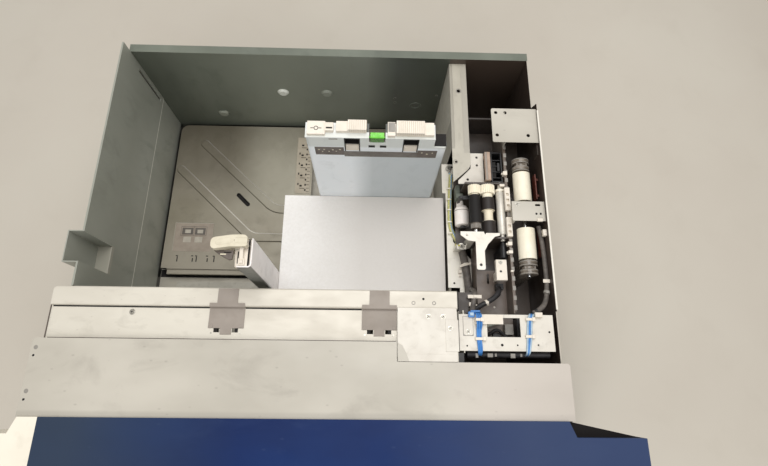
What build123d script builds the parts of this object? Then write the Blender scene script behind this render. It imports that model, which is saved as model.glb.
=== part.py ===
from build123d import *
import math
import os

# Pull-out paper feed drawer of a digital production press, standing on its own flat floor pan.
# Millimetres, +X is the way the sheets travel, +Y points into the machine, +Z is up.
# The origin lies on the underside of the floor pan, midway across the front panel.

# Driving dimensions of the drawer body
rim_height = 330.0           # top of the front rail
sheet_gauge = 1.6            # bent steel of walls, rails and brackets
pan_gauge = 2.0              # floor pan
bend_inside = 1.0            # inner radius of the bends
seat_gap = 0.3               # room between a moving piece and what it rests on
left_wall_x = -371.0         # inner face of the left wall
feed_wall_x = 214.5          # face of the feed side wall towards the paper
right_wall_x = 358.0         # outer face of the right wall
front_wall_y = -172.0        # rear face of the front wall
back_wall_y = 352.0          # inner face of the back wall
box_front_y = -262.0         # rear face of the plate that carries the front panel
back_wall_drop = 30.0        # the back wall ends this far below the rim
back_flange = 14.0
boss_height = 4.0            # pressed bosses of the back wall
boss_radius = 12.0
boss_crown = 8.0
left_boss_x = -112.0
middle_boss_x = -22.0
low_boss_x = -257.0
boss_z = 171.0
low_boss_z = 78.0

# Lap, outward pocket and lift slot of the left wall
lap_gauge = 1.2              # the upper sheet laps over the lower one down to here
lap_drop = 197.0
pocket_back_y = 3.0
pocket_front_y = -44.0
pocket_drop = 97.0           # floor of the pocket below the rim
pocket_reach = 22.0
lift_slot_width = 6.0
lift_slot_inset = 8.0
lift_slot_drop = 184.0
lift_slot_length = 110.0

# Front panel with its wings
panel_left_x = -464.0
panel_right_x = 464.0
trim_width = 86.0            # light end piece on the left
panel_depth = 76.0
panel_rise = 4.0             # above the rim
panel_foot = 14.0
panel_wall = 3.0
wing_setback = 21.0          # the wings start this much further forward
wing_right_x = 366.0
wing_left_x = -406.0
wing_slope = 9.0             # run of the slanted step between wing and middle
gusset_drop = 12.0           # top of the gussets behind the wings, below the panel's top
face_round = 14.0
grip_width = 190.0
grip_height = 34.0
grip_depth = 30.0
grip_drop = 72.0             # sill of the grip below the panel's top

# Front rail, its inserts and the end plate
rail_rear_y = -82.0
rail_step_y = -110.0
rail_under_y = -190.0        # the rail runs on under the cover to here
rail_left_x = -396.0
rail_right_x = 206.0
rail_step = 5.0
rail_lip = 14.0
rail_corner = 6.0
insert_gauge = 1.5
insert_stem = 30.0
insert_head = 52.0
insert_front_y = -141.0
insert_tongue = 16.0
insert_tongue_reach = 9.0
insert_left_x = -137.0       # middle of the left insert
insert_right_x = 89.0        # middle of the right insert
insert_slot = 9.0            # slots of the rail beside the tongue
insert_slot_depth = 6.0
end_plate_left_x = 116.0
end_plate_right_x = 204.0
end_plate_front_y = -184.0
end_plate_corner = 8.0
clip_left_x = 187.0          # small plate over the end plate
clip_rear_y = -126.0
clip_front_y = -171.0
clip_gauge = 1.2

# Cover between rail and panel
cover_left_x = -409.0
cover_right_x = 367.0
cover_rise = 2.0             # above the rim
cover_rear_y = -158.0
cover_step_y = -186.0        # rear edge beside the end plate and the corner bracket
cover_hem = 12.0
cover_corner = 4.0

# Paper and the plate that lifts it
sheet_length = 297.0         # one sheet along the feed direction
sheet_width = 210.0          # one sheet across it
stack_height = 162.0
stack_right_x = 209.0        # leading edge of the stack
stack_back_y = 118.0         # rear edge of the stack
lift_top = 30.0              # top of the lift plate at its lowest
lift_gauge = 1.6
lift_skirt = 12.0
lift_corner = 16.0
running_gap = 8.0            # between the lift plate and the walls
guide_gap = 0.5              # between the stack and the guides
edge_gap = 6.0               # between the lift plate's cut-outs and the guides
stop_width = 10.0
stop_inset = 45.0
lift_notch_y = 11.0
lift_lip_drop = 4.0          # the stepped lip along the front edge
lift_lip_reach = 10.0
lift_lip_inset = 12.0
rib_width = 20.0             # of the ribs at their base
rib_height = 2.2
rib_draft = 45.0             # their flanks lean in
rib_bend = 45.0
rib_rear_y = 144.0           # the straight ends of the two ribs
rib_front_y = 80.0
rib_run = 167.0              # of the slanted part, along X
rib_slope = 0.92
rear_rib_x = -305.0
front_rib_x = -350.0
plate_slot_x = -207.0
plate_slot_y = 165.0
plate_slot_length = 40.0
plate_slot_width = 9.0
plate_slot_angle = -44.0
label_left_x = -345.0        # shallow bare field
label_right_x = -263.0
label_front_y = 46.0
label_rear_y = 111.0
label_depth = 0.4
scale_width = 32.0
scale_length = 136.0
scale_gauge = 0.8
scale_gap = 4.0
scale_y = 182.0

# Rear side guide with its caps and latch
guide_left_x = -24.0
guide_width = 210.0          # both side guides along X
guide_top = 437.0            # top of the rear side guide
guide_gauge = 2.0
guide_bend = 3.0
guide_depth = 24.0
shoulder_width = 20.0        # lower shoulder at the right end
shoulder_drop = 26.0
right_return = 8.0           # the right flank is folded back this far, the left one over the full depth
foot_gauge = 3.0
rear_foot_reach = 66.0
foot_inset = 12.0
track_height = 10.0
track_width = 9.0
track_inset = 40.0
window_width = 20.0
window_height = 39.0
window_drop = 42.0           # sills below the guide's top
left_window = 58.0           # from the guide's left end
right_window = 145.0
snap_height = 17.0
snap_depth = 9.0
slit_width = 8.0
slit_height = 5.0
slit_drop = 29.0
slit_left = 93.0
slit_right = 110.0
cap_height = 6.0
cap_raise = 5.0
cap_setback = 8.0
pad_width = 26.0
slider_left = 29.0           # from the guide's left end to the slider, and so on
slider_width = 12.0
left_cap = 45.0
left_cap_width = 44.0
left_cap_low = 17.0          # length of the lower part
stub_left = 120.0
stub_width = 11.0
right_cap = 132.5
right_cap_width = 55.0
right_cap_low = 14.0
latch_left = 95.0
latch_width = 20.0
latch_depth = 9.0
latch_setback = 0.5          # of its front behind the guide's face
latch_height = 13.0          # its top is flush with the guide's
latch_room = 2.0             # beside it and under it
latch_drop = 8.5             # axis below the guide's top
latch_corner = 2.5
ear_gauge = 2.0
ear_depth = 11.0
ear_height = 15.0
pin_radius = 2.0
bore_clearance = 0.05

# Front side guide and end guide
front_guide_depth = 14.0
front_guide_top = 300.0
end_guide_offset = 43.5      # middle of the end guide from the front edge of the stack
end_guide_breadth = 41.0
end_guide_depth = 20.0
end_guide_top = 414.0
end_track_length = 262.0
end_track_breadth = 70.0
end_track_groove = 4.0
lever_reach = 42.0
lever_nose = 8.0
lever_width = 16.0
lever_tip = 13.0
lever_skew = 3.5             # the tip lies this much further forward
lever_thick = 12.0
lever_web = 9.0              # deepest part of the web under the paddle
lever_web_gauge = 3.0
lever_tip_round = 5.0
lever_nose_round = 7.0
lever_setback = 12.0         # axis behind the face of the post
lever_offset = 13.0          # axis from the middle of the post
lever_rise = 10.0
lever_under = 5.0            # underside of the paddle below its axis
fork_half = 3.5
tongue_half = 3.0
head_height = 24.0
head_recess = 4.0            # open gap between the head and the face of the post
head_recess_depth = 10.0
strut_width = 4.5
strut_length = 22.0
strut_height = 9.0
strut_step = 11.0            # the left strut ends this much lower

# Feed side: heights below the rim
ledge_drop = 115.0           # ledge beside the paper
rear_strip_drop = 45.0
corner_drop = 5.6            # feed side wall under the corner bracket
deck_drop = 104.0
roller_drop = 42.0           # axis of the feed rollers
channel_wall_drop = 34.0
channel_floor_drop = 134.0
takeaway_drop = 30.0
channel_cover_drop = 6.0
shelf_drop = 74.0
tee_drop = 26.0
roller_bracket_drop = 10.0

# Ledge, rear strip, bay and deck
ledge_overhang = 4.0
ledge_rear_y = 180.0
ledge_neck_y = 120.0
ledge_waist_y = 20.0
ledge_front_y = -56.0
ledge_end_y = -108.0
ledge_head_width = 26.0
ledge_neck_width = 11.0
ledge_wide = 42.0
ledge_hole_radius = 2.5
wall_step_y = 178.0          # the feed side wall rises behind this and before the next
wall_front_y = -76.0
bay_flange = 26.0
strip_width = 31.0
strip_reach = 64.0           # the strip runs on in front of the wall's step
strip_corner = 20.0
strip_flange = 7.0
strip_hole_radius = 3.2
strip_hole_y = 294.0
deck_edge = 8.0              # from the feed side wall to the deck
deck_front_y = 14.0
bay_front_y = -110.0         # the feed bay lies between two bulkheads
bay_rear_y = 237.0
bulkhead_gauge = 3.0

# Rollers and gears of the feed unit
shaft_plate_gauge = 3.0
shaft_plate_rear_y = 110.0
shaft_plate_front_y = 14.0
shaft_plate_rise = 8.0       # above the axes
shaft_radius = 3.5
feed_axis_x = 249.0
feed_roller_radius = 9.5
feed_roller_front_y = 38.0
feed_roller_length = 50.0
feed_collar_radius = 8.0
feed_collar_width = 9.0
pull_roller_radius = 11.0
pull_rear_y = 61.0
pull_front_y = 20.0
pull_length = 22.0
pull_hub_radius = 7.5
gear_module = 1.0
feed_teeth = 20
pull_teeth = 24
gear_width = 15.0
idler_axis_x = 292.5
idler_radius = 6.2
idler_front_y = 19.0
idler_length = 76.0
idler_collar_radius = 7.6
idler_collar_width = 4.0

# Brackets and small pieces of the feed unit
upper_bracket_drop = 50.0
upper_left_x = 224.0
upper_step_x = 246.5
upper_right_x = 269.0
upper_front_y = 113.0
upper_rear_y = 171.0
upper_hole_radius = 2.2
bar_left_x = 268.0
bar_width = 9.0
bar_front_y = 113.0
bar_length = 52.0
bar_drop = 30.0
bar_thick = 8.0
sensor_left_x = 280.0
sensor_width = 19.0
sensor_front_y = 113.0
sensor_length = 56.0
sensor_drop = 40.0
sensor_wall = 2.0
solenoid_left_x = 224.5
solenoid_width = 22.5
solenoid_front_y = 52.0
solenoid_length = 33.0
solenoid_height = 26.0
solenoid_neck = 6.0
solenoid_neck_length = 10.0
tee_left_x = 220.0
tee_width = 64.0
tee_rear_y = 20.0
tee_arm = 15.0
tee_stem_left_x = 244.0
tee_stem_width = 14.0
tee_stem_front_y = -43.0
tee_curve = 17.0
tee_hole_radius = 2.4
comb_width = 7.0
comb_height = 8.0
comb_front_y = 13.0
comb_front_length = 33.0
comb_rear_y = 58.0
comb_rear_length = 40.0
comb_notch = 5.0
comb_pitch = 10.0
shelf_left_x = 252.0
shelf_rear_y = -34.0
shelf_slot_x = 271.0
shelf_slot_y = -48.0
shelf_slot_length = 17.0
shelf_slot_width = 4.0
block_left_x = 275.0
block_width = 17.0
block_rear_y = -26.0
block_length = 33.0
block_height = 9.0
block_post = 38.0
corner_block_x = 232.0
corner_block_width = 41.0
corner_block_length = 14.0
corner_block_height = 7.0

# Channel with the two take-away rollers
channel_left_x = 302.0
takeaway_x = 328.0
takeaway_radius = 14.5
takeaway_length = 51.0
takeaway_rear_y = 73.0       # front end of the rear roller
takeaway_front_y = -25.0     # front end of the front roller
takeaway_core = 5.0
bearing_gap = 3.0
bearing_width = 22.0
bearing_ring = 8.0
bearing_radius = 14.0
bearing_post = 18.0
channel_cover_left_x = 278.0
channel_cover_front_y = 173.0
channel_cover_corner = 3.0
cover_plate_hole_radius = 3.0
bracket_left_x = 303.0
bracket_front_y = 35.0
bracket_length = 33.0
bracket_slot_length = 9.0
bracket_slot_width = 3.6

# Corner bracket at the front right
corner_left_x = 208.0
corner_right_x = 350.0
corner_rear_y = -116.0
corner_front_y = -169.0
corner_lip = 26.0
window_left_x = 250.0
window_right_x = 300.0
window_rear_y = -121.0
window_front_y = -149.0
tab_left_x = 214.5
tab_width = 14.0
tab_length = 27.0
tab_corner = 3.0

# Cables
tube_radius = 3.4
harness_radius = 6.3
wall_cable_radius = 3.4
front_cable_radius = 4.6
cable_bend = 40.0
cable_sides = 6

# Slide rails on both flanks
slide_height = 46.0
slide_depth = 12.7
slide_gauge = 2.0
slide_z = 62.0
slide_front_y = -150.0
slide_back_y = 346.0
slide_lip = 9.0

# Values that follow from the ones above
cover_top = rim_height + cover_rise
panel_top = rim_height + panel_rise
back_wall_height = rim_height - back_wall_drop
corner_wall_top = rim_height - corner_drop
ledge_top = rim_height - ledge_drop
rear_strip_top = rim_height - rear_strip_drop
deck_top = rim_height - deck_drop
roller_axis_z = rim_height - roller_drop
shaft_plate_top = roller_axis_z + shaft_plate_rise
channel_wall_top = rim_height - channel_wall_drop
channel_floor = rim_height - channel_floor_drop
takeaway_z = rim_height - takeaway_drop
shelf_top = rim_height - shelf_drop
strip_z = rim_height - rail_step
stack_left_x = stack_right_x - sheet_length
stack_front_y = stack_back_y - sheet_width
stack_top = lift_top + stack_height
end_guide_y = stack_front_y + end_guide_offset
left_outer_x = left_wall_x - sheet_gauge
right_inner_x = right_wall_x - sheet_gauge
feed_outer_x = feed_wall_x + sheet_gauge
ledge_left_x = feed_wall_x - ledge_overhang
deck_left_x = feed_outer_x + deck_edge
bay_right_x = channel_left_x - sheet_gauge
box_outer_y = box_front_y - sheet_gauge
lift_left_x = left_wall_x + running_gap
lift_right_x = feed_wall_x - running_gap
lift_back_y = back_wall_y - running_gap
lift_notch_x = stack_left_x + edge_gap - guide_gap
lift_front_y = stack_front_y + edge_gap
guide_right_x = guide_left_x + guide_width
guide_face_y = stack_back_y + guide_gap
window_sill = guide_top - window_drop
opening_left_x = guide_left_x - 6 * edge_gap
opening_right_x = guide_right_x + edge_gap
opening_front_y = stack_back_y - edge_gap
opening_back_y = lift_back_y - 3 * edge_gap
foot_z = pan_gauge + track_height + seat_gap
pull_axis_x = feed_axis_x + gear_module * (feed_teeth + pull_teeth) / 2
gear_y = shaft_plate_rear_y - shaft_plate_gauge - 1.0 - gear_width
panel_face_y = box_outer_y - panel_depth
trim_right_x = panel_left_x + trim_width
rear_bearing_y = takeaway_rear_y + takeaway_length + bearing_gap
front_bearing_y = takeaway_front_y - bearing_gap - bearing_width
post_face_x = stack_left_x - guide_gap
post_left_x = post_face_x - end_guide_depth
lever_x = post_face_x - lever_setback
lever_y = end_guide_y + lever_offset
lever_z = end_guide_top + lever_rise
latch_y = guide_face_y + latch_setback + latch_depth * 0.6
latch_z = guide_top - latch_drop

os.makedirs("parts", exist_ok=True)
made = []


def keep(name, shape):
    """Writes one named piece."""
    export_step(shape, f"parts/{name}.step")
    made.append(name)


def block(x0, x1, y0, y1, z0, z1):
    """A box between three pairs of faces."""
    return Pos((x0 + x1) / 2, (y0 + y1) / 2, (z0 + z1) / 2) * Box(abs(x1 - x0), abs(y1 - y0), abs(z1 - z0))


def fold(points, gauge):
    """Outline of bent sheet: the points are one face of it, and the gauge lies to their left."""
    far_side = []
    for i, (px, py) in enumerate(points):
        normals = []
        for a, b in ((i - 1, i), (i, i + 1)):
            if a < 0 or b >= len(points):
                continue
            dx, dy = points[b][0] - points[a][0], points[b][1] - points[a][1]
            run = math.hypot(dx, dy)
            normals.append((-dy / run, dx / run))
        nx = sum(n[0] for n in normals)
        ny = sum(n[1] for n in normals)
        reach = len(normals) * gauge / (nx * nx + ny * ny)
        far_side.append((px + nx * reach, py + ny * reach))
    return list(points) + far_side[::-1]


def rounded(points, gauge, inside=bend_inside):
    """Face of bent sheet with a radius inside and outside every bend."""
    outline = fold(points, gauge)
    face = make_face(Polyline(*outline, close=True))
    for i in range(1, len(points) - 1):
        (ax, ay), (bx, by), (cx, cy) = points[i - 1], points[i], points[i + 1]
        turn = (bx - ax) * (cy - by) - (by - ay) * (cx - bx)
        near, far = outline[i], outline[2 * len(points) - 1 - i]
        hollow, crown = (far, near) if turn * gauge > 0 else (near, far)
        for place, radius in ((hollow, inside), (crown, inside + abs(gauge))):
            corner = face.vertices().sort_by_distance(Vector(place[0], place[1], 0))[0]
            face = fillet(corner, radius)
    return face


def across(outline, x0, x1):
    """Extrudes a (y, z) outline from x0 to x1."""
    side = Plane(origin=(x0, 0, 0), x_dir=(0, 1, 0), z_dir=(1, 0, 0))
    return extrude(side * as_face(outline), x1 - x0)


def along(outline, y0, y1):
    """Extrudes an (x, z) outline from y0 to y1."""
    front = Plane(origin=(0, y0, 0), x_dir=(1, 0, 0), z_dir=(0, -1, 0))
    return extrude(front * as_face(outline), y0 - y1)


def upward(outline, z0, z1):
    """Extrudes an (x, y) outline from z0 to z1."""
    return extrude(Pos(0, 0, z0) * as_face(outline), z1 - z0)


def as_face(outline):
    return make_face(Polyline(*outline, close=True)) if isinstance(outline, list) else outline


def rod_x(x0, x1, y, z, radius):
    return Pos((x0 + x1) / 2, y, z) * Rot(0, 90, 0) * Cylinder(radius, abs(x1 - x0))


def rod_y(x, y0, y1, z, radius):
    return Pos(x, (y0 + y1) / 2, z) * Rot(90, 0, 0) * Cylinder(radius, abs(y1 - y0))


def rod_z(x, y, z0, z1, radius):
    return Pos(x, y, (z0 + z1) / 2) * Cylinder(radius, abs(z1 - z0))


def slot_z(x, y, z0, z1, length, width, angle=0.0):
    """An obround through a level plate."""
    flat = Pos(x, y, z0 - 1) * Rot(0, 0, angle) * SlotOverall(length, width)
    return extrude(flat, z1 - z0 + 2)


def corner_edges(shape, x, y):
    """The upright edges of a plate nearest to one of its corners."""
    upright = shape.edges().filter_by(Axis.Z)
    return [e for e in upright if math.hypot(e.center().X - x, e.center().Y - y) < sheet_gauge]


def cable(points, radius, bend=cable_bend):
    """A cable of straight runs joined by tangent arcs, its section a polygon."""
    path = FilletPolyline(*points, radius=bend)
    return sweep(Plane(origin=path @ 0, z_dir=path % 0) * RegularPolygon(radius, cable_sides), path)


def group(solids):
    """Several like pieces of one node."""
    return Compound(children=list(solids))


def floor_pan():
    """Floor pan that the drawer stands on, with the stops that the lift plate comes down on."""
    pan = block(left_outer_x, right_wall_x, box_outer_y, back_wall_y + sheet_gauge, 0, pan_gauge)
    stop_top = lift_top - lift_gauge - seat_gap
    half = stop_width / 2
    left_row = lift_left_x + stop_inset
    right_row = lift_right_x - 1.6 * stop_width
    rear_row = lift_back_y - stop_width
    front_row = lift_front_y + 2 * stop_width
    places = [(left_row, rear_row), (left_row, lift_notch_y + stop_inset), (right_row, rear_row),
              (right_row, front_row), (lift_notch_x + stop_inset, front_row)]
    for x, y in places:
        pan += block(x - half, x + half, y - half, y + half, pan_gauge, stop_top)
    return pan


def left_wall():
    """Left wall, stepped under rail and cover, with a pocket pressed outwards near its front."""
    rail_under = rim_height - sheet_gauge
    strip_under = strip_z - sheet_gauge
    cover_under = cover_top - sheet_gauge
    step_y = rail_step_y + sheet_gauge
    outline = [(box_front_y, pan_gauge), (back_wall_y, pan_gauge), (back_wall_y, rail_under),
               (step_y + bend_inside, rail_under), (step_y, rail_under - bend_inside), (step_y, strip_under),
               (rail_under_y, strip_under), (rail_under_y, cover_under), (box_front_y, cover_under)]
    wall = across(outline, left_outer_x, left_wall_x)
    lap_z = rim_height - lap_drop
    wall += block(left_wall_x, left_wall_x + lap_gauge, rail_rear_y + lap_gauge, back_wall_y, lap_z, rail_under)
    face_x = left_wall_x + lap_gauge
    floor_z = rim_height - pocket_drop
    wall -= block(left_outer_x - 1, face_x + 1, pocket_front_y, pocket_back_y, floor_z, rim_height)
    far = left_wall_x - pocket_reach
    path = [(left_outer_x, pocket_front_y), (far, pocket_front_y), (far, pocket_back_y), (left_outer_x, pocket_back_y)]
    cup = upward(fold(path, sheet_gauge), floor_z, rail_under)
    cup += block(far - sheet_gauge, left_wall_x, pocket_front_y - sheet_gauge, pocket_back_y + sheet_gauge,
                 floor_z - sheet_gauge, floor_z)
    wall += cup
    slot_y = back_wall_y - lift_slot_inset
    slot_top = rim_height - lift_slot_drop + lift_slot_length
    wall -= block(left_outer_x - 1, face_x + 1, slot_y - lift_slot_width, slot_y, rim_height - lift_slot_drop, slot_top)
    return wall


def back_wall():
    """Back wall with pressed bosses, its top edge folded to the rear."""
    rear = back_wall_y + sheet_gauge
    level = back_wall_height - sheet_gauge
    path = [(rear, pan_gauge), (rear, level), (rear + back_flange, level)]
    wall = across(fold(path, sheet_gauge), left_outer_x, right_wall_x)
    for x, z in ((left_boss_x, boss_z), (middle_boss_x, boss_z), (low_boss_x, low_boss_z)):
        wall += Pos(x, back_wall_y - boss_height / 2, z) * Rot(90, 0, 0) * Cone(boss_radius, boss_crown, boss_height)
    return wall


def front_wall():
    """Wall in front of the paper bay, which carries the rail."""
    top = strip_z - 2 * sheet_gauge
    rear = front_wall_y - sheet_gauge
    path = [(rear, pan_gauge), (rear, top), (rear - cover_hem, top)]
    return across(fold(path, -sheet_gauge), left_wall_x, feed_wall_x)


def panel_plate():
    """Upright plate that the front panel is screwed to."""
    top = cover_top - sheet_gauge
    return block(left_outer_x, right_wall_x, box_outer_y, box_front_y, pan_gauge, top)


def right_wall():
    """Right wall, which is also the outer wall of the roller channel."""
    cover_under = cover_top - sheet_gauge
    slope_y = bay_rear_y + 2 * running_gap
    outline = [(box_front_y, pan_gauge), (back_wall_y, pan_gauge), (back_wall_y, back_wall_height),
               (slope_y, back_wall_height), (bay_rear_y + running_gap, rim_height), (bay_front_y, rim_height),
               (bay_front_y, corner_wall_top), (cover_step_y, corner_wall_top), (cover_step_y, cover_under),
               (box_front_y, cover_under)]
    return across(outline, right_inner_x, right_wall_x)


def insert_places():
    return insert_left_x, insert_right_x


def front_rail():
    """Rail in front of the paper: a lip, a step down, and a strip that runs under the cover."""
    path = [(rail_rear_y, rim_height - rail_lip), (rail_rear_y, rim_height), (rail_step_y, rim_height),
            (rail_step_y, strip_z), (rail_under_y, strip_z)]
    rail = across(rounded(path, sheet_gauge), rail_left_x, rail_right_x)
    rail -= block(rail_left_x - 1, left_wall_x + lap_gauge, rail_rear_y - sheet_gauge - 1, rail_rear_y + 1,
                  rim_height - rail_lip - 1, rim_height - sheet_gauge)
    tip = [(rail_left_x - 1, rail_rear_y + 1), (rail_left_x + rail_corner, rail_rear_y + 1),
           (rail_left_x + rail_corner / 3, rail_rear_y - rail_corner / 3), (rail_left_x - 1, rail_rear_y - rail_corner)]
    rail -= upward(tip, rim_height - rail_lip, rim_height + 1)
    for x in insert_places():
        for side in (-1, 1):
            middle = x + side * (insert_tongue / 2 + 1 + insert_slot / 2)
            rail -= block(middle - insert_slot / 2, middle + insert_slot / 2, insert_front_y - insert_slot_depth,
                          insert_front_y, strip_z - 2 * sheet_gauge, strip_z + 1)
    return rail


def rail_insert(x):
    """T-shaped plastic insert over lip, step and strip of the rail, with a tongue in front."""
    lip = [(rail_rear_y - sheet_gauge, rim_height), (rail_step_y, rim_height)]
    head = [(rail_step_y + rail_step, rim_height), (rail_step_y, rim_height), (rail_step_y, strip_z),
            (insert_front_y, strip_z)]
    stem = across(fold(lip, -insert_gauge), x - insert_stem / 2, x + insert_stem / 2)
    wide = across(rounded(head, -insert_gauge), x - insert_head / 2, x + insert_head / 2)
    tongue = block(x - insert_tongue / 2, x + insert_tongue / 2, insert_front_y - insert_tongue_reach, insert_front_y,
                   strip_z, strip_z + insert_gauge)
    return stem + wide + tongue


def rail_end_plate():
    """Screwed plate at the right end of the rail, its front edge turned down, with a clip plate on it."""
    z = rim_height
    path = [(rail_step_y + sheet_gauge, z), (end_plate_front_y, z), (end_plate_front_y, strip_z)]
    plate = across(rounded(path, -sheet_gauge), end_plate_left_x, end_plate_right_x)
    edge = end_plate_front_y - sheet_gauge
    notch = [(end_plate_left_x - 1, edge - 1), (end_plate_left_x + end_plate_corner, edge - 1),
             (end_plate_left_x - 1, edge + end_plate_corner)]
    plate -= upward(notch, strip_z - 1, z + 2 * sheet_gauge)
    return plate + block(clip_left_x, rail_right_x, clip_front_y, clip_rear_y, z + sheet_gauge,
                         z + sheet_gauge + clip_gauge)


def front_cover():
    """Flat cover between rail and front panel, with hemmed flanks."""
    z0, z1 = cover_top - sheet_gauge, cover_top
    inner = end_plate_left_x - 1
    outline = [(cover_left_x, box_outer_y), (cover_right_x, box_outer_y), (cover_right_x, cover_step_y),
               (inner, cover_step_y), (inner, cover_rear_y), (cover_left_x, cover_rear_y)]
    cover = upward(outline, z0, z1)
    cover = fillet(corner_edges(cover, cover_right_x, cover_step_y), cover_corner)
    cover = fillet(corner_edges(cover, cover_left_x, cover_rear_y), cover_corner)
    cover += block(cover_left_x, cover_left_x + sheet_gauge, box_outer_y, cover_rear_y - cover_corner, z0 - cover_hem, z0)
    cover += block(cover_right_x - sheet_gauge, cover_right_x, box_outer_y, cover_step_y - cover_corner,
                   z0 - cover_hem, z0)
    return cover


def front_panel():
    """Dark front panel: a hollow moulding with a rounded face, a grip and a wing on the right."""
    def outline(inset):
        left, right, face = trim_right_x + inset, panel_right_x - inset, panel_face_y + inset
        step = box_outer_y - wing_setback - inset
        return [(left, face), (right, face), (right, step), (wing_right_x - inset, step),
                (wing_right_x - wing_slope - inset, box_outer_y), (left, box_outer_y)]
    body = upward(outline(0), panel_foot, panel_top)
    body = fillet(corner_edges(body, panel_right_x, panel_face_y), face_round)
    body -= upward(outline(panel_wall), panel_foot + panel_wall, panel_top - panel_wall)
    half = grip_width / 2
    sill = panel_top - grip_drop
    body += block(-half - panel_wall, half + panel_wall, panel_face_y + 1, panel_face_y + grip_depth + panel_wall,
                  sill - panel_wall, sill + grip_height + panel_wall)
    body -= block(-half, half, panel_face_y - 1, panel_face_y + grip_depth, sill, sill + grip_height)
    step = box_outer_y - wing_setback
    gusset = [(wing_right_x - wing_slope, box_outer_y), (wing_right_x, step), (panel_right_x - panel_wall, step)]
    return body + upward(gusset, panel_foot, panel_top - gusset_drop)


def panel_end_trim():
    """Light end piece of the front panel, with the slanted step at its rear."""
    def outline(inset):
        step = box_outer_y - wing_setback - inset
        left, right, face = panel_left_x + inset, trim_right_x - inset, panel_face_y + inset
        return [(left, face), (right, face), (right, box_outer_y), (wing_left_x + inset, box_outer_y),
                (wing_left_x - wing_slope + inset, step), (left, step)]
    body = upward(outline(0), panel_foot, panel_top)
    return body - upward(outline(panel_wall), panel_foot + panel_wall, panel_top - panel_wall)


def slide_rail(side):
    """Drawer slide: a channel with rolled lips, screwed to a flank."""
    x = left_outer_x if side < 0 else right_wall_x
    far = x + side * slide_depth
    z0, z1 = slide_z, slide_z + slide_height
    rail = block(x, x + side * slide_gauge, slide_front_y, slide_back_y, z0, z1)
    for z, direction in ((z0, 1), (z1, -1)):
        rail += block(x, far, slide_front_y, slide_back_y, z, z + direction * slide_gauge)
        rail += block(far - side * slide_gauge, far, slide_front_y, slide_back_y, z, z + direction * slide_lip)
    return rail


def feed_side_wall():
    """Wall beside the stack: low along it, higher behind it and under the corner bracket."""
    strip_under, ledge_under = rear_strip_top - sheet_gauge, ledge_top - sheet_gauge
    outline = [(front_wall_y, pan_gauge), (back_wall_y, pan_gauge), (back_wall_y, strip_under),
               (wall_step_y, strip_under), (wall_step_y, ledge_under), (wall_front_y, ledge_under),
               (wall_front_y, rear_strip_top), (bay_front_y, rear_strip_top), (bay_front_y, corner_wall_top),
               (front_wall_y, corner_wall_top)]
    wall = across(outline, feed_wall_x, feed_outer_x)
    return wall + block(feed_outer_x, feed_outer_x + bay_flange, bay_front_y + sheet_gauge, wall_front_y,
                        rear_strip_top - sheet_gauge, rear_strip_top)


def feed_ledge():
    """Plate on top of the low wall: a head with a hole, a narrow neck and a wide front part."""
    z0, z1 = ledge_top - sheet_gauge, ledge_top
    head = ledge_left_x + ledge_head_width
    neck = ledge_left_x + ledge_neck_width
    wide = ledge_left_x + ledge_wide
    middle = ledge_left_x + ledge_head_width / 2
    outline = [(ledge_left_x, ledge_front_y), (ledge_left_x, wall_step_y - seat_gap), (head, wall_step_y - seat_gap),
               (head, wall_step_y - ledge_head_width / 2), (neck, ledge_neck_y), (neck, ledge_waist_y + edge_gap),
               (middle + ledge_neck_width, ledge_waist_y - edge_gap), (wide, -edge_gap), (wide, ledge_end_y),
               (head - edge_gap, ledge_end_y), (head - edge_gap, ledge_front_y)]
    plate = upward(outline, z0, z1)
    return plate - rod_z(middle, wall_step_y - edge_gap, z0 - 1, z1 + 1, ledge_hole_radius)


def feed_rear_strip():
    """Long strip behind the rollers with a swept front corner and a turned-down right edge."""
    z0, z1 = rear_strip_top - sheet_gauge, rear_strip_top
    right = feed_wall_x + strip_width
    front = wall_step_y - strip_reach
    outline = [(feed_wall_x, back_wall_y), (feed_wall_x, front), (right, front + 0.9 * strip_width), (right, back_wall_y)]
    strip = upward(outline, z0, z1)
    strip = fillet(corner_edges(strip, right, front + 0.9 * strip_width), strip_corner)
    strip += block(right - sheet_gauge, right, front + strip_width + strip_corner, bay_rear_y - seat_gap,
                   z1 - strip_flange, z0)
    strip -= rod_z(feed_wall_x + strip_width / 2, strip_hole_y, z0 - 1, z1 + 1, strip_hole_radius)
    return strip - rod_z(feed_wall_x + edge_gap, wall_step_y - ledge_head_width, z0 - 1, z1 + 1, upper_hole_radius)


def bulkheads():
    """Upright plates at the front and rear of the feed bay."""
    top = rear_strip_top - sheet_gauge
    rear = block(feed_outer_x, right_inner_x, bay_rear_y, bay_rear_y + bulkhead_gauge, pan_gauge, top)
    front = block(feed_outer_x, right_inner_x, bay_front_y - bulkhead_gauge, bay_front_y, pan_gauge, top)
    return [front, rear]


def feed_deck():
    """Floor of the feed unit, cut back over the wide part of the ledge."""
    z0, z1 = deck_top - sheet_gauge, deck_top
    deck = block(deck_left_x, bay_right_x, shaft_plate_front_y - shaft_plate_gauge, bay_rear_y, z0, z1)
    return deck + block(shelf_left_x + sheet_gauge, bay_right_x, bay_front_y, shaft_plate_front_y, z0, z1)


def roller_channel():
    """Inner wall and floor of the roller channel, one folded sheet."""
    path = [(channel_left_x, channel_wall_top), (channel_left_x, channel_floor), (right_inner_x, channel_floor)]
    return along(fold(path, -sheet_gauge), bay_front_y, bay_rear_y)


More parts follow.
